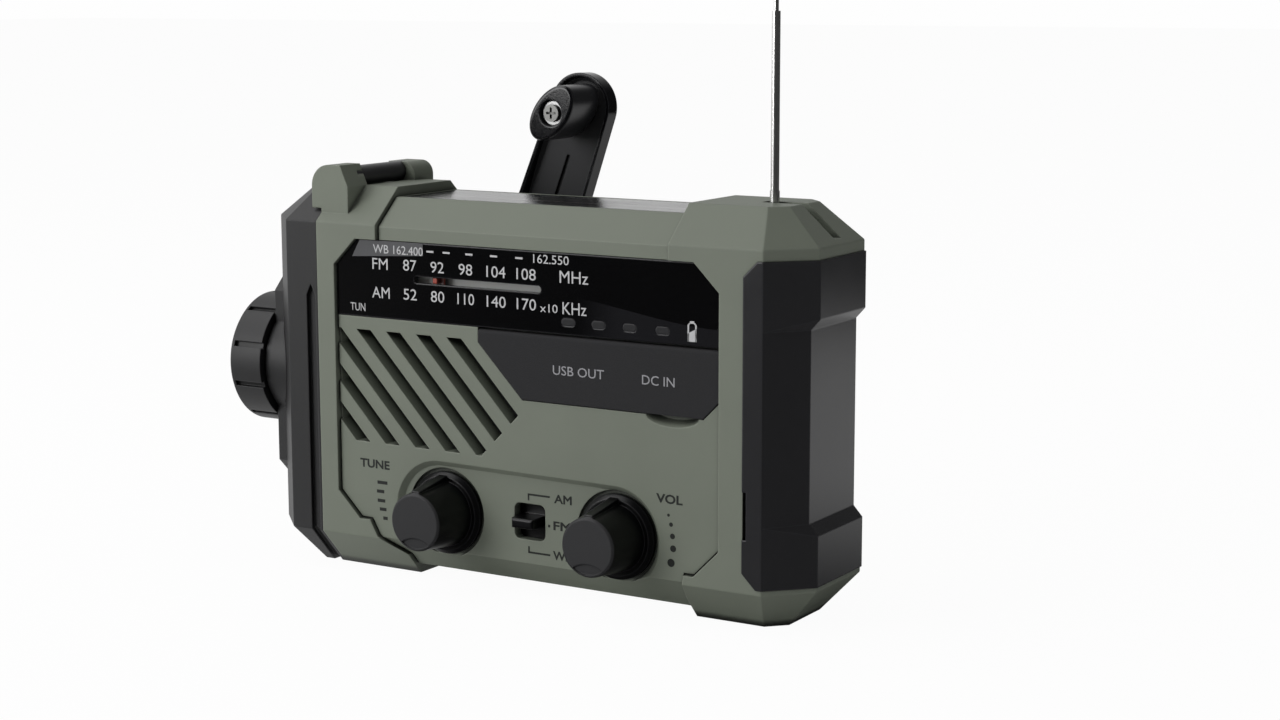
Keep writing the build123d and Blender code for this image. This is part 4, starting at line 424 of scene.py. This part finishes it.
def solar_finish(name):
    """Dark blue silicon with fine silver fingers and two wider bus lines a cell."""
    made, tree, shader = new_material(name)
    where = object_place(tree)
    fingers = stripes(tree, where, "X", 1.6 * MM, 0.12 * MM)
    buses = stripes(tree, where, "Y", 9.4 * MM, 0.5 * MM)
    gaps = stripes(tree, where, "X", 11.7 * MM, 0.5 * MM)
    cloud = noise(tree, where, 400.0, detail=3.0)
    silicon = mixed(tree, cloud, (0.006, 0.010, 0.030), (0.012, 0.018, 0.046))
    lined = mixed(tree, fingers, silicon, (0.30, 0.31, 0.33))
    bussed = mixed(tree, buses, lined, (0.42, 0.43, 0.44))
    colour = mixed(tree, gaps, bussed, (0.010, 0.010, 0.012))
    tree.links.new(colour, shader.inputs["Base Color"])
    shader.inputs["Roughness"].default_value = 0.35
    return made


def cloth_finish(name):
    """Black woven speaker cloth."""
    made, tree, shader = new_material(name)
    where = object_place(tree)
    across = stripes(tree, where, "X", 0.5 * MM, 0.22 * MM)
    up = stripes(tree, where, "Z", 0.5 * MM, 0.22 * MM)
    holes = math_node(tree, "MULTIPLY", across, up)
    fluff = noise(tree, where, 3000.0, detail=2.0)
    thread = mixed(tree, fluff, (0.012, 0.013, 0.012), (0.030, 0.032, 0.029))
    colour = mixed(tree, holes, thread, (0.003, 0.003, 0.003))
    tree.links.new(colour, shader.inputs["Base Color"])
    shader.inputs["Roughness"].default_value = 0.9
    bump = bumped(tree, holes, 0.1 * MM)
    bump.invert = True
    tree.links.new(bump.outputs["Normal"], shader.inputs["Normal"])
    return made


def ink(name, colour, roughness):
    """Printed ink, slightly uneven."""
    made, tree, shader = new_material(name)
    cover = noise(tree, object_place(tree), 2500.0, detail=3.0)
    thin = tuple(THIN_INK * c for c in colour)
    tree.links.new(mixed(tree, cover, thin, colour), shader.inputs["Base Color"])
    shader.inputs["Roughness"].default_value = roughness
    return made


def two_tone(name, plain, other, mask_of, roughness, other_rough, gloss):
    """Moulded plastic whose marked area has another colour and another roughness."""
    # edge is the colour of the painted edge highlight
    made = plastic(name, plain, roughness, grain=0.006, edge=(0.05, 0.05, 0.055), gloss=gloss)
    tree = made.node_tree
    shader = tree.nodes["Principled BSDF"]
    mask = mask_of(tree, object_place(tree))
    for label, mix, value in (("Base Color", mixed, other), ("Roughness", mixed_number, other_rough)):
        before = shader.inputs[label].links[0].from_socket
        tree.links.new(mix(tree, mask, before, value), shader.inputs[label])
    return made


def knob_front(tree, where):
    """The flat front face of a control knob."""
    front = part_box("tune_knob")[0].y
    return math_node(tree, "LESS_THAN", split(tree, where, "Y"), front + 0.45 * MM)


def channel_floor(tree, where):
    """The textured floor of the crank arm's channel."""
    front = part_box("crank_arm")[0].y
    deep = math_node(tree, "GREATER_THAN", split(tree, where, "Y"), front + 0.9 * MM)
    facing = tree.nodes.new("ShaderNodeTexCoord").outputs["Normal"]
    upright = math_node(tree, "LESS_THAN", split(tree, facing, "Y"), -TO_FRONT)
    return math_node(tree, "MULTIPLY", deep, upright)


def grip_side(tree, where):
    """The side of the crank's knob, behind its flat front, which is painted lighter as a painted sheen."""
    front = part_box("crank_knob")[0].y
    return math_node(tree, "GREATER_THAN", split(tree, where, "Y"), front + 0.3 * MM)


def lit_corner(tree, where):
    """The lower right corner of the dial window, painted lighter as painted light on the glossy window."""
    low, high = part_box("dial_window")
    rise = eased(tree, split(tree, where, "X"), low.x + 55 * MM, high.x, 8.0 * MM, 3.6 * MM)
    above = math_node(tree, "SUBTRACT", split(tree, where, "Z"), low.z)
    under = math_node(tree, "LESS_THAN", above, rise)
    right = eased(tree, split(tree, where, "X"), low.x + 60 * MM, low.x + 74 * MM)
    return math_node(tree, "MULTIPLY", under, right)


def by_name(kind, *rows):
    """Finishes of one kind, each under its own name."""
    return {row[0]: kind(*row) for row in rows}


# each edge= colour below is the colour of that finish's painted edge highlight
FINISH = {
    "green_plastic": plastic(
        "green_plastic", GREEN, 0.55, edge=(0.27, 0.29, 0.24), edge_share=0.55, gloss=0.35
    ),
    "black_plastic": plastic("black_plastic", BLACK, 0.5, edge=(0.05, 0.05, 0.052), gloss=0.45),
    "bumper_black": plastic(
        "bumper_black", (0.023, 0.023, 0.025), 0.19, grain=0.010, edge=(0.05, 0.05, 0.054)
    ),
    "bar_black": plastic("bar_black", (0.034, 0.034, 0.036), 0.4, grain=0.01),
    "black_gloss": plastic("black_gloss", (0.004, 0.004, 0.005), 0.14, grain=0.0, edge=(0.02, 0.02, 0.02)),
    "black_rubber": plastic(
        "black_rubber", (0.021, 0.021, 0.023), 0.75, grain=0.05, edge=(0.05, 0.05, 0.052), gloss=0.25
    ),
    "clear_lens": clear("clear_lens", (0.95, 0.97, 0.98), 0.03),
    "lamp_lens": plastic("lamp_lens", (0.012, 0.012, 0.014), 0.45, grain=0.0, gloss=0.3),
    "solar_blue": solar_finish("solar_blue"),
    "solar_cover": clear("solar_cover", (0.93, 0.95, 0.97), 0.22),
    "pointer_red": plastic("pointer_red", (0.30, 0.045, 0.025), 0.35, grain=0.0),
    # painted light: dial_grey is raised well above the plate's own grey so that the shaded floor behind the
    # pointer slot shows light grey
    "dial_grey": plastic("dial_grey", (0.62, 0.63, 0.61), 0.6, grain=0.01),
    "white_gear": plastic("white_gear", (0.78, 0.76, 0.70), 0.4, grain=0.01),
    "circuit_green": plastic("circuit_green", (0.015, 0.10, 0.045), 0.35, grain=0.01),
    "speaker_cloth": cloth_finish("speaker_cloth"),
    "speaker_paper": plastic("speaker_paper", (0.02, 0.02, 0.02), 0.85, grain=0.06),
    "ferrite": plastic("ferrite", (0.05, 0.05, 0.055), 0.6, grain=0.03),
    "cell_wrap": plastic("cell_wrap", (0.04, 0.10, 0.26), 0.25, grain=0.0),
    # name, colour, roughness, depth of the marks
    **by_name(
        metal,
        ("mirror_metal", (0.85, 0.85, 0.86), 0.06, FINE_MARKS),
        ("antenna_chrome", (0.80, 0.80, 0.79), 0.26, FINE_MARKS),
        ("steel", (0.42, 0.42, 0.42), 0.30),
        ("screw_steel", (0.17, 0.17, 0.165), 0.32),
        ("tin_plate", (0.66, 0.66, 0.67), 0.25),
    ),
    # name, colour, colour of the marked area, its mask, roughness, roughness of the marked area, gloss
    **by_name(
        two_tone,
        ("knob_black", (0.002, 0.002, 0.0025), (0.028, 0.028, 0.030), knob_front, 0.3, 0.5, 0.3),
        ("arm_black", (0.004, 0.004, 0.005), (0.026, 0.026, 0.028), channel_floor, 0.09, 0.55, 0.25),
        # grip_black: the knob's side is painted lighter than its front, a painted sheen
        ("grip_black", (0.003, 0.003, 0.004), (0.016, 0.016, 0.018), grip_side, 0.07, 0.28, 0.5),
        # window_gloss: its lower right corner is painted lighter, painted light on the window
        ("window_gloss", (0.0022, 0.0022, 0.0025), (0.0105, 0.0105, 0.012), lit_corner, 0.06, 0.08, 0.3),
    ),
}
WHITE_INK = ink("white_ink", PAINT_WHITE, 0.4)
BLACK_INK = ink("black_ink", PAINT_BLACK, 0.7)
GREY_INK = ink("grey_ink", (0.32, 0.32, 0.34), 0.7)
BAND_INK = ink("band_ink", (0.058, 0.059, 0.064), 0.4)

# Nodes whose finish differs in detail from their slot's plain one
OWN_FINISH = {
    "dial_window": "window_gloss",
    "right_end_bumper": "bumper_black",
    "lanyard_bar": "bar_black",
    "tune_knob": "knob_black",
    "volume_knob": "knob_black",
    "band_switch_slider": "knob_black",
    "crank_arm": "arm_black",
    "crank_knob": "grip_black",
}


def finish_nodes():
    """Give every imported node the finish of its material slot."""
    for row in frame["record"]["subparts"]:
        name = row["node"]
        surface = FINISH[OWN_FINISH.get(name, row["material_slot"])]
        mesh = frame["nodes"][name].data
        mesh.materials.clear()
        mesh.materials.append(surface)


# --------------------------------------------------------------- mesh helpers

def new_piece(name, shape, material, body):
    """Turn a bmesh into a named piece that rides on a body."""
    mesh = bpy.data.meshes.new(name)
    shape.to_mesh(mesh)
    shape.free()
    mesh.materials.append(material)
    for face in mesh.polygons:
        face.use_smooth = False
    made = bpy.data.objects.new(name, mesh)
    bpy.context.scene.collection.objects.link(made)
    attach(made, body)
    return made


def letters_mesh(words, bold):
    """Mesh of flat letters in the XY plane; bold fattens their strokes."""
    curve = bpy.data.curves.new("letters", "FONT")
    curve.body = words
    curve.resolution_u = 3
    curve.extrude = LETTER_DEEP
    curve.bevel_depth = bold
    curve.bevel_resolution = 0
    holder = bpy.data.objects.new("letters", curve)
    bpy.context.scene.collection.objects.link(holder)
    graph = bpy.context.evaluated_depsgraph_get()
    mesh = bpy.data.meshes.new_from_object(holder.evaluated_get(graph))
    bpy.data.objects.remove(holder)
    bpy.data.curves.remove(curve)
    return mesh


def add_letters(shape, words, corner, across, height, wide, high, bold=0.0):
    """Print words centred at a place on a face that looks to the front; sizes in millimetres."""
    mesh = letters_mesh(words, bold)
    points = [vertex.co for vertex in mesh.vertices]
    low = Vector([min(p[i] for p in points) for i in range(3)])
    top = Vector([max(p[i] for p in points) for i in range(3)])
    middle = (low + top) / 2
    size = top - low
    fit = Matrix.Diagonal((wide * MM / size.x, high * MM / size.y, INK_THICK / size.z, 1.0))
    stand = Matrix.Rotation(math.radians(90), 4, "X")
    centre = corner + Vector((across * MM, INK_SINK - INK_THICK / 2, height * MM))
    mesh.transform(Matrix.Translation(centre) @ stand @ fit @ Matrix.Translation(-middle))
    shape.from_mesh(mesh)
    bpy.data.meshes.remove(mesh)


def add_bar(shape, corner, left, right, low, high):
    """Print a square-ended bar on a face that looks to the front; sizes in millimetres."""
    middle = Vector(((left + right) / 2 * MM, INK_SINK - INK_THICK / 2, (low + high) / 2 * MM))
    scale = Matrix.Diagonal(((right - left) * MM, INK_THICK, (high - low) * MM, 1.0))
    bmesh.ops.create_cube(shape, size=1.0, matrix=Matrix.Translation(corner + middle) @ scale)


def add_patch(shape, corner, outline, proud=INK_THICK - INK_SINK):
    """Print a straight-edged patch that stands a little proud of its face."""
    patch = bmesh.new()
    points = [corner + Vector((across * MM, INK_SINK, height * MM)) for across, height in outline]
    face = patch.faces.new([patch.verts.new(point) for point in points])
    made = bmesh.ops.extrude_face_region(patch, geom=[face])
    moved = [item for item in made["geom"] if isinstance(item, bmesh.types.BMVert)]
    bmesh.ops.translate(patch, verts=moved, vec=(0.0, -proud - INK_SINK, 0.0))
    bmesh.ops.recalc_face_normals(patch, faces=patch.faces[:])
    mesh = bpy.data.meshes.new("patch")
    patch.to_mesh(mesh)
    patch.free()
    shape.from_mesh(mesh)
    bpy.data.meshes.remove(mesh)


def add_dot(shape, corner, across, height, radius):
    """Print a round dot on a face that looks to the front; sizes in millimetres."""
    place = corner + Vector((across * MM, INK_SINK - INK_THICK / 2, height * MM))
    bmesh.ops.create_cone(
        shape,
        cap_ends=True,
        segments=DOT_SIDES,
        radius1=radius * MM,
        radius2=radius * MM,
        depth=INK_THICK,
        matrix=Matrix.Translation(place) @ Matrix.Rotation(math.radians(90), 4, "X"),
    )


# -------------------------------------------------------------------- the dial

def print_dial():
    """Numbers and words on the dial window, measured from its lower left corner."""
    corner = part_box("dial_window")[0]
    shape = bmesh.new()
    for words, across, height, wide, high in (
        ("FM", 11.8, 11.65, 4.1, 2.4),
        ("AM", 11.9, 5.45, 4.7, 2.4),
        ("MHz", 61.2, 11.85, 6.9, 2.5),
        ("x10", 55.05, 5.1, 4.3, 1.75),
        ("KHz", 61.3, 5.4, 5.8, 2.5),
        ("WB 162.400", 16.6, 14.9, 13.2, 1.85),
        ("162.550", 55.65, 15.2, 8.7, 1.85),
        ("TUN", 5.6, 1.95, 4.0, 1.7),
    ):
        add_letters(shape, words, corner, across, height, wide, high)
    columns = (19.7, 26.9, 34.2, 41.95, 49.5)
    for across, upper, lower in zip(columns, (87, 92, 98, 104, 108), (52, 80, 110, 140, 170)):
        for number, height in ((upper, 11.8), (lower, 5.55)):
            digits = str(number)
            wide = 3.5 if len(digits) == 2 else 4.8 - 0.5 * (digits.count("1") - 1)
            add_letters(shape, digits, corner, across, height, wide, 2.4)
    for across in (25.1, 29.3, 35.15, 41.4, 47.75):
        add_bar(shape, corner, across - 0.9, across + 0.9, 14.85, 15.25)
    new_piece("dial_print", shape, WHITE_INK, "casing")


def print_band_strip():
    """Lighter strip under the weather band's words, along the window's upper left corner."""
    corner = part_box("dial_window")[0]
    shape = bmesh.new()
    add_patch(shape, corner, ((4.3, 12.9), (23.2, 14.0), (23.2, 16.6), (6.4, 16.6)), 0.01 * MM)
    new_piece("weather_band_strip", shape, BAND_INK, "casing")


def print_battery_sign():
    """Small battery sign beside the charge lamps, partly filled."""
    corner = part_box("dial_window")[0]
    shape = bmesh.new()
    left, right, low, top, wall = 87.95, 90.05, 0.8, 4.2, 0.36
    add_patch(shape, corner, ((left, low), (right, low), (right, 3.5), (left, 2.4)))
    add_bar(shape, corner, left, left + wall, low, top)
    add_bar(shape, corner, right - wall, right, low, top)
    middle = (left + right) / 2
    for side in (-1.0, 1.0):
        far, near = middle + side * (right - left) / 2, middle + side * 0.45
        slant = ((far, top), (near, top + 0.55), (near, top + 0.2), (far - side * wall, top - 0.1))
        add_patch(shape, corner, slant)
    add_bar(shape, corner, middle - 0.5, middle + 0.5, top + 0.25, top + 0.75)
    new_piece("battery_sign", shape, WHITE_INK, "casing")


# --------------------------------------------------------------------- screws

def with_borders(faces):
    """Faces with their edges and vertices, each once."""
    whole = dict.fromkeys(faces)
    for face in faces:
        whole.update(dict.fromkeys([*face.edges, *face.verts]))
    return list(whole)


def cross_recess(shape, centre, side, reach, half, deep):
    """Sink a cross recess into a flat head that looks along Y; side is -1 to the front."""
    for axis in (Vector((1.0, 0.0, 0.0)), Vector((0.0, 0.0, 1.0))):
        for offset in (-reach, -half, half, reach):
            near = [face for face in shape.faces if (face.calc_center_median() - centre).length < 2.0 * reach]
            bmesh.ops.bisect_plane(
                shape,
                geom=with_borders(near),
                dist=CUT_NEAR,
                plane_co=centre + axis * offset,
                plane_no=axis,
            )
    shape.normal_update()
    cross = []
    for face in shape.faces:
        away = face.calc_center_median() - centre
        across, up = abs(away.x), abs(away.z)
        inside = (across < half and up < reach) or (up < half and across < reach)
        if inside and abs(away.y) < ONE_PLANE and face.normal.y * side > 0.9:
            cross.append(face)
    made = bmesh.ops.extrude_face_region(shape, geom=with_borders(cross))
    moved = [item for item in made["geom"] if isinstance(item, bmesh.types.BMVert)]
    bmesh.ops.translate(shape, verts=moved, vec=(0.0, -side * deep, 0.0))


def recessed_screws(name, node, side, reach, body):
    """Copy of a node's screws with a cross recess in every head, shown in place of the plain ones."""
    source = frame["nodes"][node]
    shape = bmesh.new()
    shape.from_mesh(source.data)
    shape.transform(source.matrix_world)
    bmesh.ops.remove_doubles(shape, verts=shape.verts[:], dist=WELD)
    bmesh.ops.dissolve_limit(
        shape, angle_limit=math.radians(1.0), verts=shape.verts[:], edges=shape.edges[:]
    )
    bmesh.ops.recalc_face_normals(shape, faces=shape.faces[:])
    front = max(side * vertex.co.y for vertex in shape.verts) * side
    heads = [
        face.calc_center_median()
        for face in shape.faces
        if face.normal.y * side > 0.99 and abs(face.calc_center_median().y - front) < ONE_PLANE
    ]
    for centre in heads:
        cross_recess(shape, centre, side, reach, RECESS_HALF * reach, RECESS_DEEP)
    made = new_piece(name, shape, FINISH["screw_steel"], body)
    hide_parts(node)


def dress_screws():
    """Cross recesses in the crank knob's screw and in the case screws."""
    recessed_screws("crank_knob_screw_head", "crank_knob_screw", -1.0, KNOB_RECESS, "crank_arm")
    recessed_screws("case_screw_heads", "case_screws", 1.0, CASE_RECESS, "casing")


# ------------------------------------------------------- cover and control panel

def print_cover():
    """Words over the two sockets, on the port cover."""
    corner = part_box("port_cover")[0]
    shape = bmesh.new()
    add_letters(shape, "USB OUT", corner, 24.9, 6.95, 12.4, 1.95)
    add_letters(shape, "DC IN", corner, 43.95, 6.8, 7.6, 1.95)
    new_piece("socket_words", shape, GREY_INK, "port_cover")


def print_panel():
    """Words and marks round the knobs and the band switch, measured from the tuning knob's axis."""
    low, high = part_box("tune_knob")
    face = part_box("dial_window")[0].y
    corner = Vector(((low.x + high.x) / 2, face, (low.z + high.z) / 2))
    floor = corner + Vector((0.0, PANEL_DEEP, 0.0))
    shape = bmesh.new()
    add_letters(shape, "TUNE", corner, -18.2, 8.9, 8.0, 1.95, PANEL_BOLD)
    add_letters(shape, "VOL", corner, 56.25, 9.6, 6.2, 1.95, PANEL_BOLD)
    bands = (("AM", 29.85, 6.2, 4.4), ("FM", 29.6, 0.4, 4.3), ("WB", 29.6, -6.0, 4.6))
    for words, across, height, wide in bands:
        add_letters(shape, words, floor, across, height, wide, 1.9, SWITCH_BOLD)
    for across, height, wide in (
        (-16.25, 4.95, 2.7),
        (-16.8, 2.95, 2.0),
        (-16.6, 0.9, 2.05),
        (-16.2, -1.0, 1.8),
        (-15.6, -2.95, 1.2),
    ):
        add_bar(shape, corner, across - wide / 2, across + wide / 2, height - 0.36, height + 0.36)
    for across, height, radius in (
        (56.05, 6.3, 0.32),
        (56.65, 4.4, 0.45),
        (57.0, 2.0, 0.58),
        (57.15, -0.55, 0.7),
        (56.65, -3.55, 0.85),
    ):
        add_dot(shape, corner, across, height, radius)
    line = 0.2
    for height, side in ((6.4, -1.0), (-6.1, 1.0)):
        add_bar(shape, floor, 21.25 - line, 26.6, height - line, height + line)
        near, far = sorted((height, height + side * 1.3))
        add_bar(shape, floor, 21.25 - line, 21.25 + line, near, far)
    add_bar(shape, floor, 26.1, 26.65, -0.1, 0.45)
    new_piece("panel_print", shape, BLACK_INK, "casing")


# --------------------------------------------------------------------- studio

def place_camera():
    """The camera, looking down on the front from its right."""
    lens = bpy.data.cameras.new("camera")
    lens.lens = CAMERA_LENS
    lens.sensor_width = CAMERA_SENSOR
    lens.clip_start, lens.clip_end = CAMERA_CLIP
    camera = bpy.data.objects.new("camera", lens)
    bpy.context.scene.collection.objects.link(camera)
    back = Vector((
        math.sin(CAMERA_TURN) * math.cos(CAMERA_RISE),
        -math.cos(CAMERA_TURN) * math.cos(CAMERA_RISE),
        math.sin(CAMERA_RISE),
    ))
    right = Vector((0, 0, 1)).cross(back).normalized()
    up = back.cross(right)
    turn = Matrix((right, up, back)).transposed().to_4x4()
    camera.matrix_world = Matrix.Translation(CAMERA_PLACE) @ turn @ Matrix.Rotation(CAMERA_ROLL, 4, "Z")
    bpy.context.scene.camera = camera


def side_light(tree, direction):
    """How bright the surroundings are in a mirrored direction."""
    turned = vector_node(tree, "DOT_PRODUCT", direction, BRIGHT_SIDE)
    return eased(tree, turned, *SIDE_EASE, *SIDE_LIGHT)


def blended(tree, share, first, second):
    """Blend two shaders by a share."""
    node = tree.nodes.new("ShaderNodeMixShader")
    for value, target in zip((share, first, second), node.inputs):
        tree.links.new(value, target)
    return node.outputs[0]


def lay_floor():
    """Pale floor that glows towards the camera and shows the studio in mirror images."""
    shape = bmesh.new()
    bmesh.ops.create_grid(shape, x_segments=1, y_segments=1, size=FLOOR_HALF)
    mesh = bpy.data.meshes.new("floor")
    shape.to_mesh(mesh)
    shape.free()
    floor = bpy.data.objects.new("floor", mesh)
    floor.location.z = cad_box[0].z - FLOOR_GAP
    bpy.context.scene.collection.objects.link(floor)
    paper, tree, shader = new_material("studio_floor")
    shader.inputs["Base Color"].default_value = FLOOR_COLOUR
    shader.inputs["Roughness"].default_value = FLOOR_ROUGH
    glow = tree.nodes.new("ShaderNodeEmission")
    ray = tree.nodes.new("ShaderNodeLightPath")
    where = object_place(tree)
    far = side_light(tree, vector_node(tree, "NORMALIZE", where))
    near = eased(tree, vector_node(tree, "DISTANCE", where, GLOW_PLACE), *GLOW_EASE, *GLOW_LIGHT)
    direct = math_node(tree, "SUBTRACT", 1.0, ray.outputs["Is Glossy Ray"])
    strength = math_node(tree, "MAXIMUM", math_node(tree, "MAXIMUM", far, near), direct)
    tree.links.new(strength, glow.inputs["Strength"])
    mirrored = math_node(tree, "MAXIMUM", ray.outputs["Is Glossy Ray"], ray.outputs["Is Transmission Ray"])
    seen = math_node(tree, "MULTIPLY", ray.outputs["Is Camera Ray"], FLOOR_SHOWN)
    share = math_node(tree, "MAXIMUM", seen, mirrored)
    surface = blended(tree, share, shader.outputs[0], glow.outputs[0])
    tree.links.new(surface, tree.nodes["Material Output"].inputs["Surface"])
    mesh.materials.append(paper)


def light_world():
    """Soft light all round, a white backdrop, and surroundings of their own for mirror images."""
    world = bpy.data.worlds.new("studio")
    bpy.context.scene.world = world
    world.use_nodes = True
    tree = world.node_tree
    ray = tree.nodes.new("ShaderNodeLightPath")
    where = tree.nodes.new("ShaderNodeTexCoord").outputs["Generated"]
    lights = (
        (tree.nodes["Background"], SOFT_LIGHT),
        (tree.nodes.new("ShaderNodeBackground"), side_light(tree, where)),
        (tree.nodes.new("ShaderNodeBackground"), BACKDROP_LIGHT),
    )
    for node, strength in lights:
        node.inputs["Color"].default_value = WHITE
        put(tree, strength, node.inputs["Strength"])
    soft, mirrored, backdrop = (node.outputs[0] for node, _ in lights)
    shown = math_node(tree, "MAXIMUM", ray.outputs["Is Camera Ray"], ray.outputs["Is Transmission Ray"])
    lit = blended(tree, ray.outputs["Is Glossy Ray"], soft, mirrored)
    tree.links.new(blended(tree, shown, lit, backdrop), tree.nodes["World Output"].inputs["Surface"])


def hang_lamps():
    """Soft lamps that face the middle of the radio."""
    centre = (cad_box[0] + cad_box[1]) / 2
    for name, place, size, power in LAMPS:
        light = bpy.data.lights.new(name, "AREA")
        light.size = size
        light.energy = power
        lamp = bpy.data.objects.new(name, light)
        lamp.location = Vector(place)
        lamp.rotation_euler = (centre - Vector(place)).to_track_quat("-Z", "Y").to_euler()
        bpy.context.scene.collection.objects.link(lamp)


finish_nodes()
print_dial()
print_band_strip()
print_battery_sign()
print_cover()
print_panel()
dress_screws()
bpy.context.scene.view_settings.view_transform = "Standard"
place_camera()
lay_floor()
light_world()
hang_lamps()
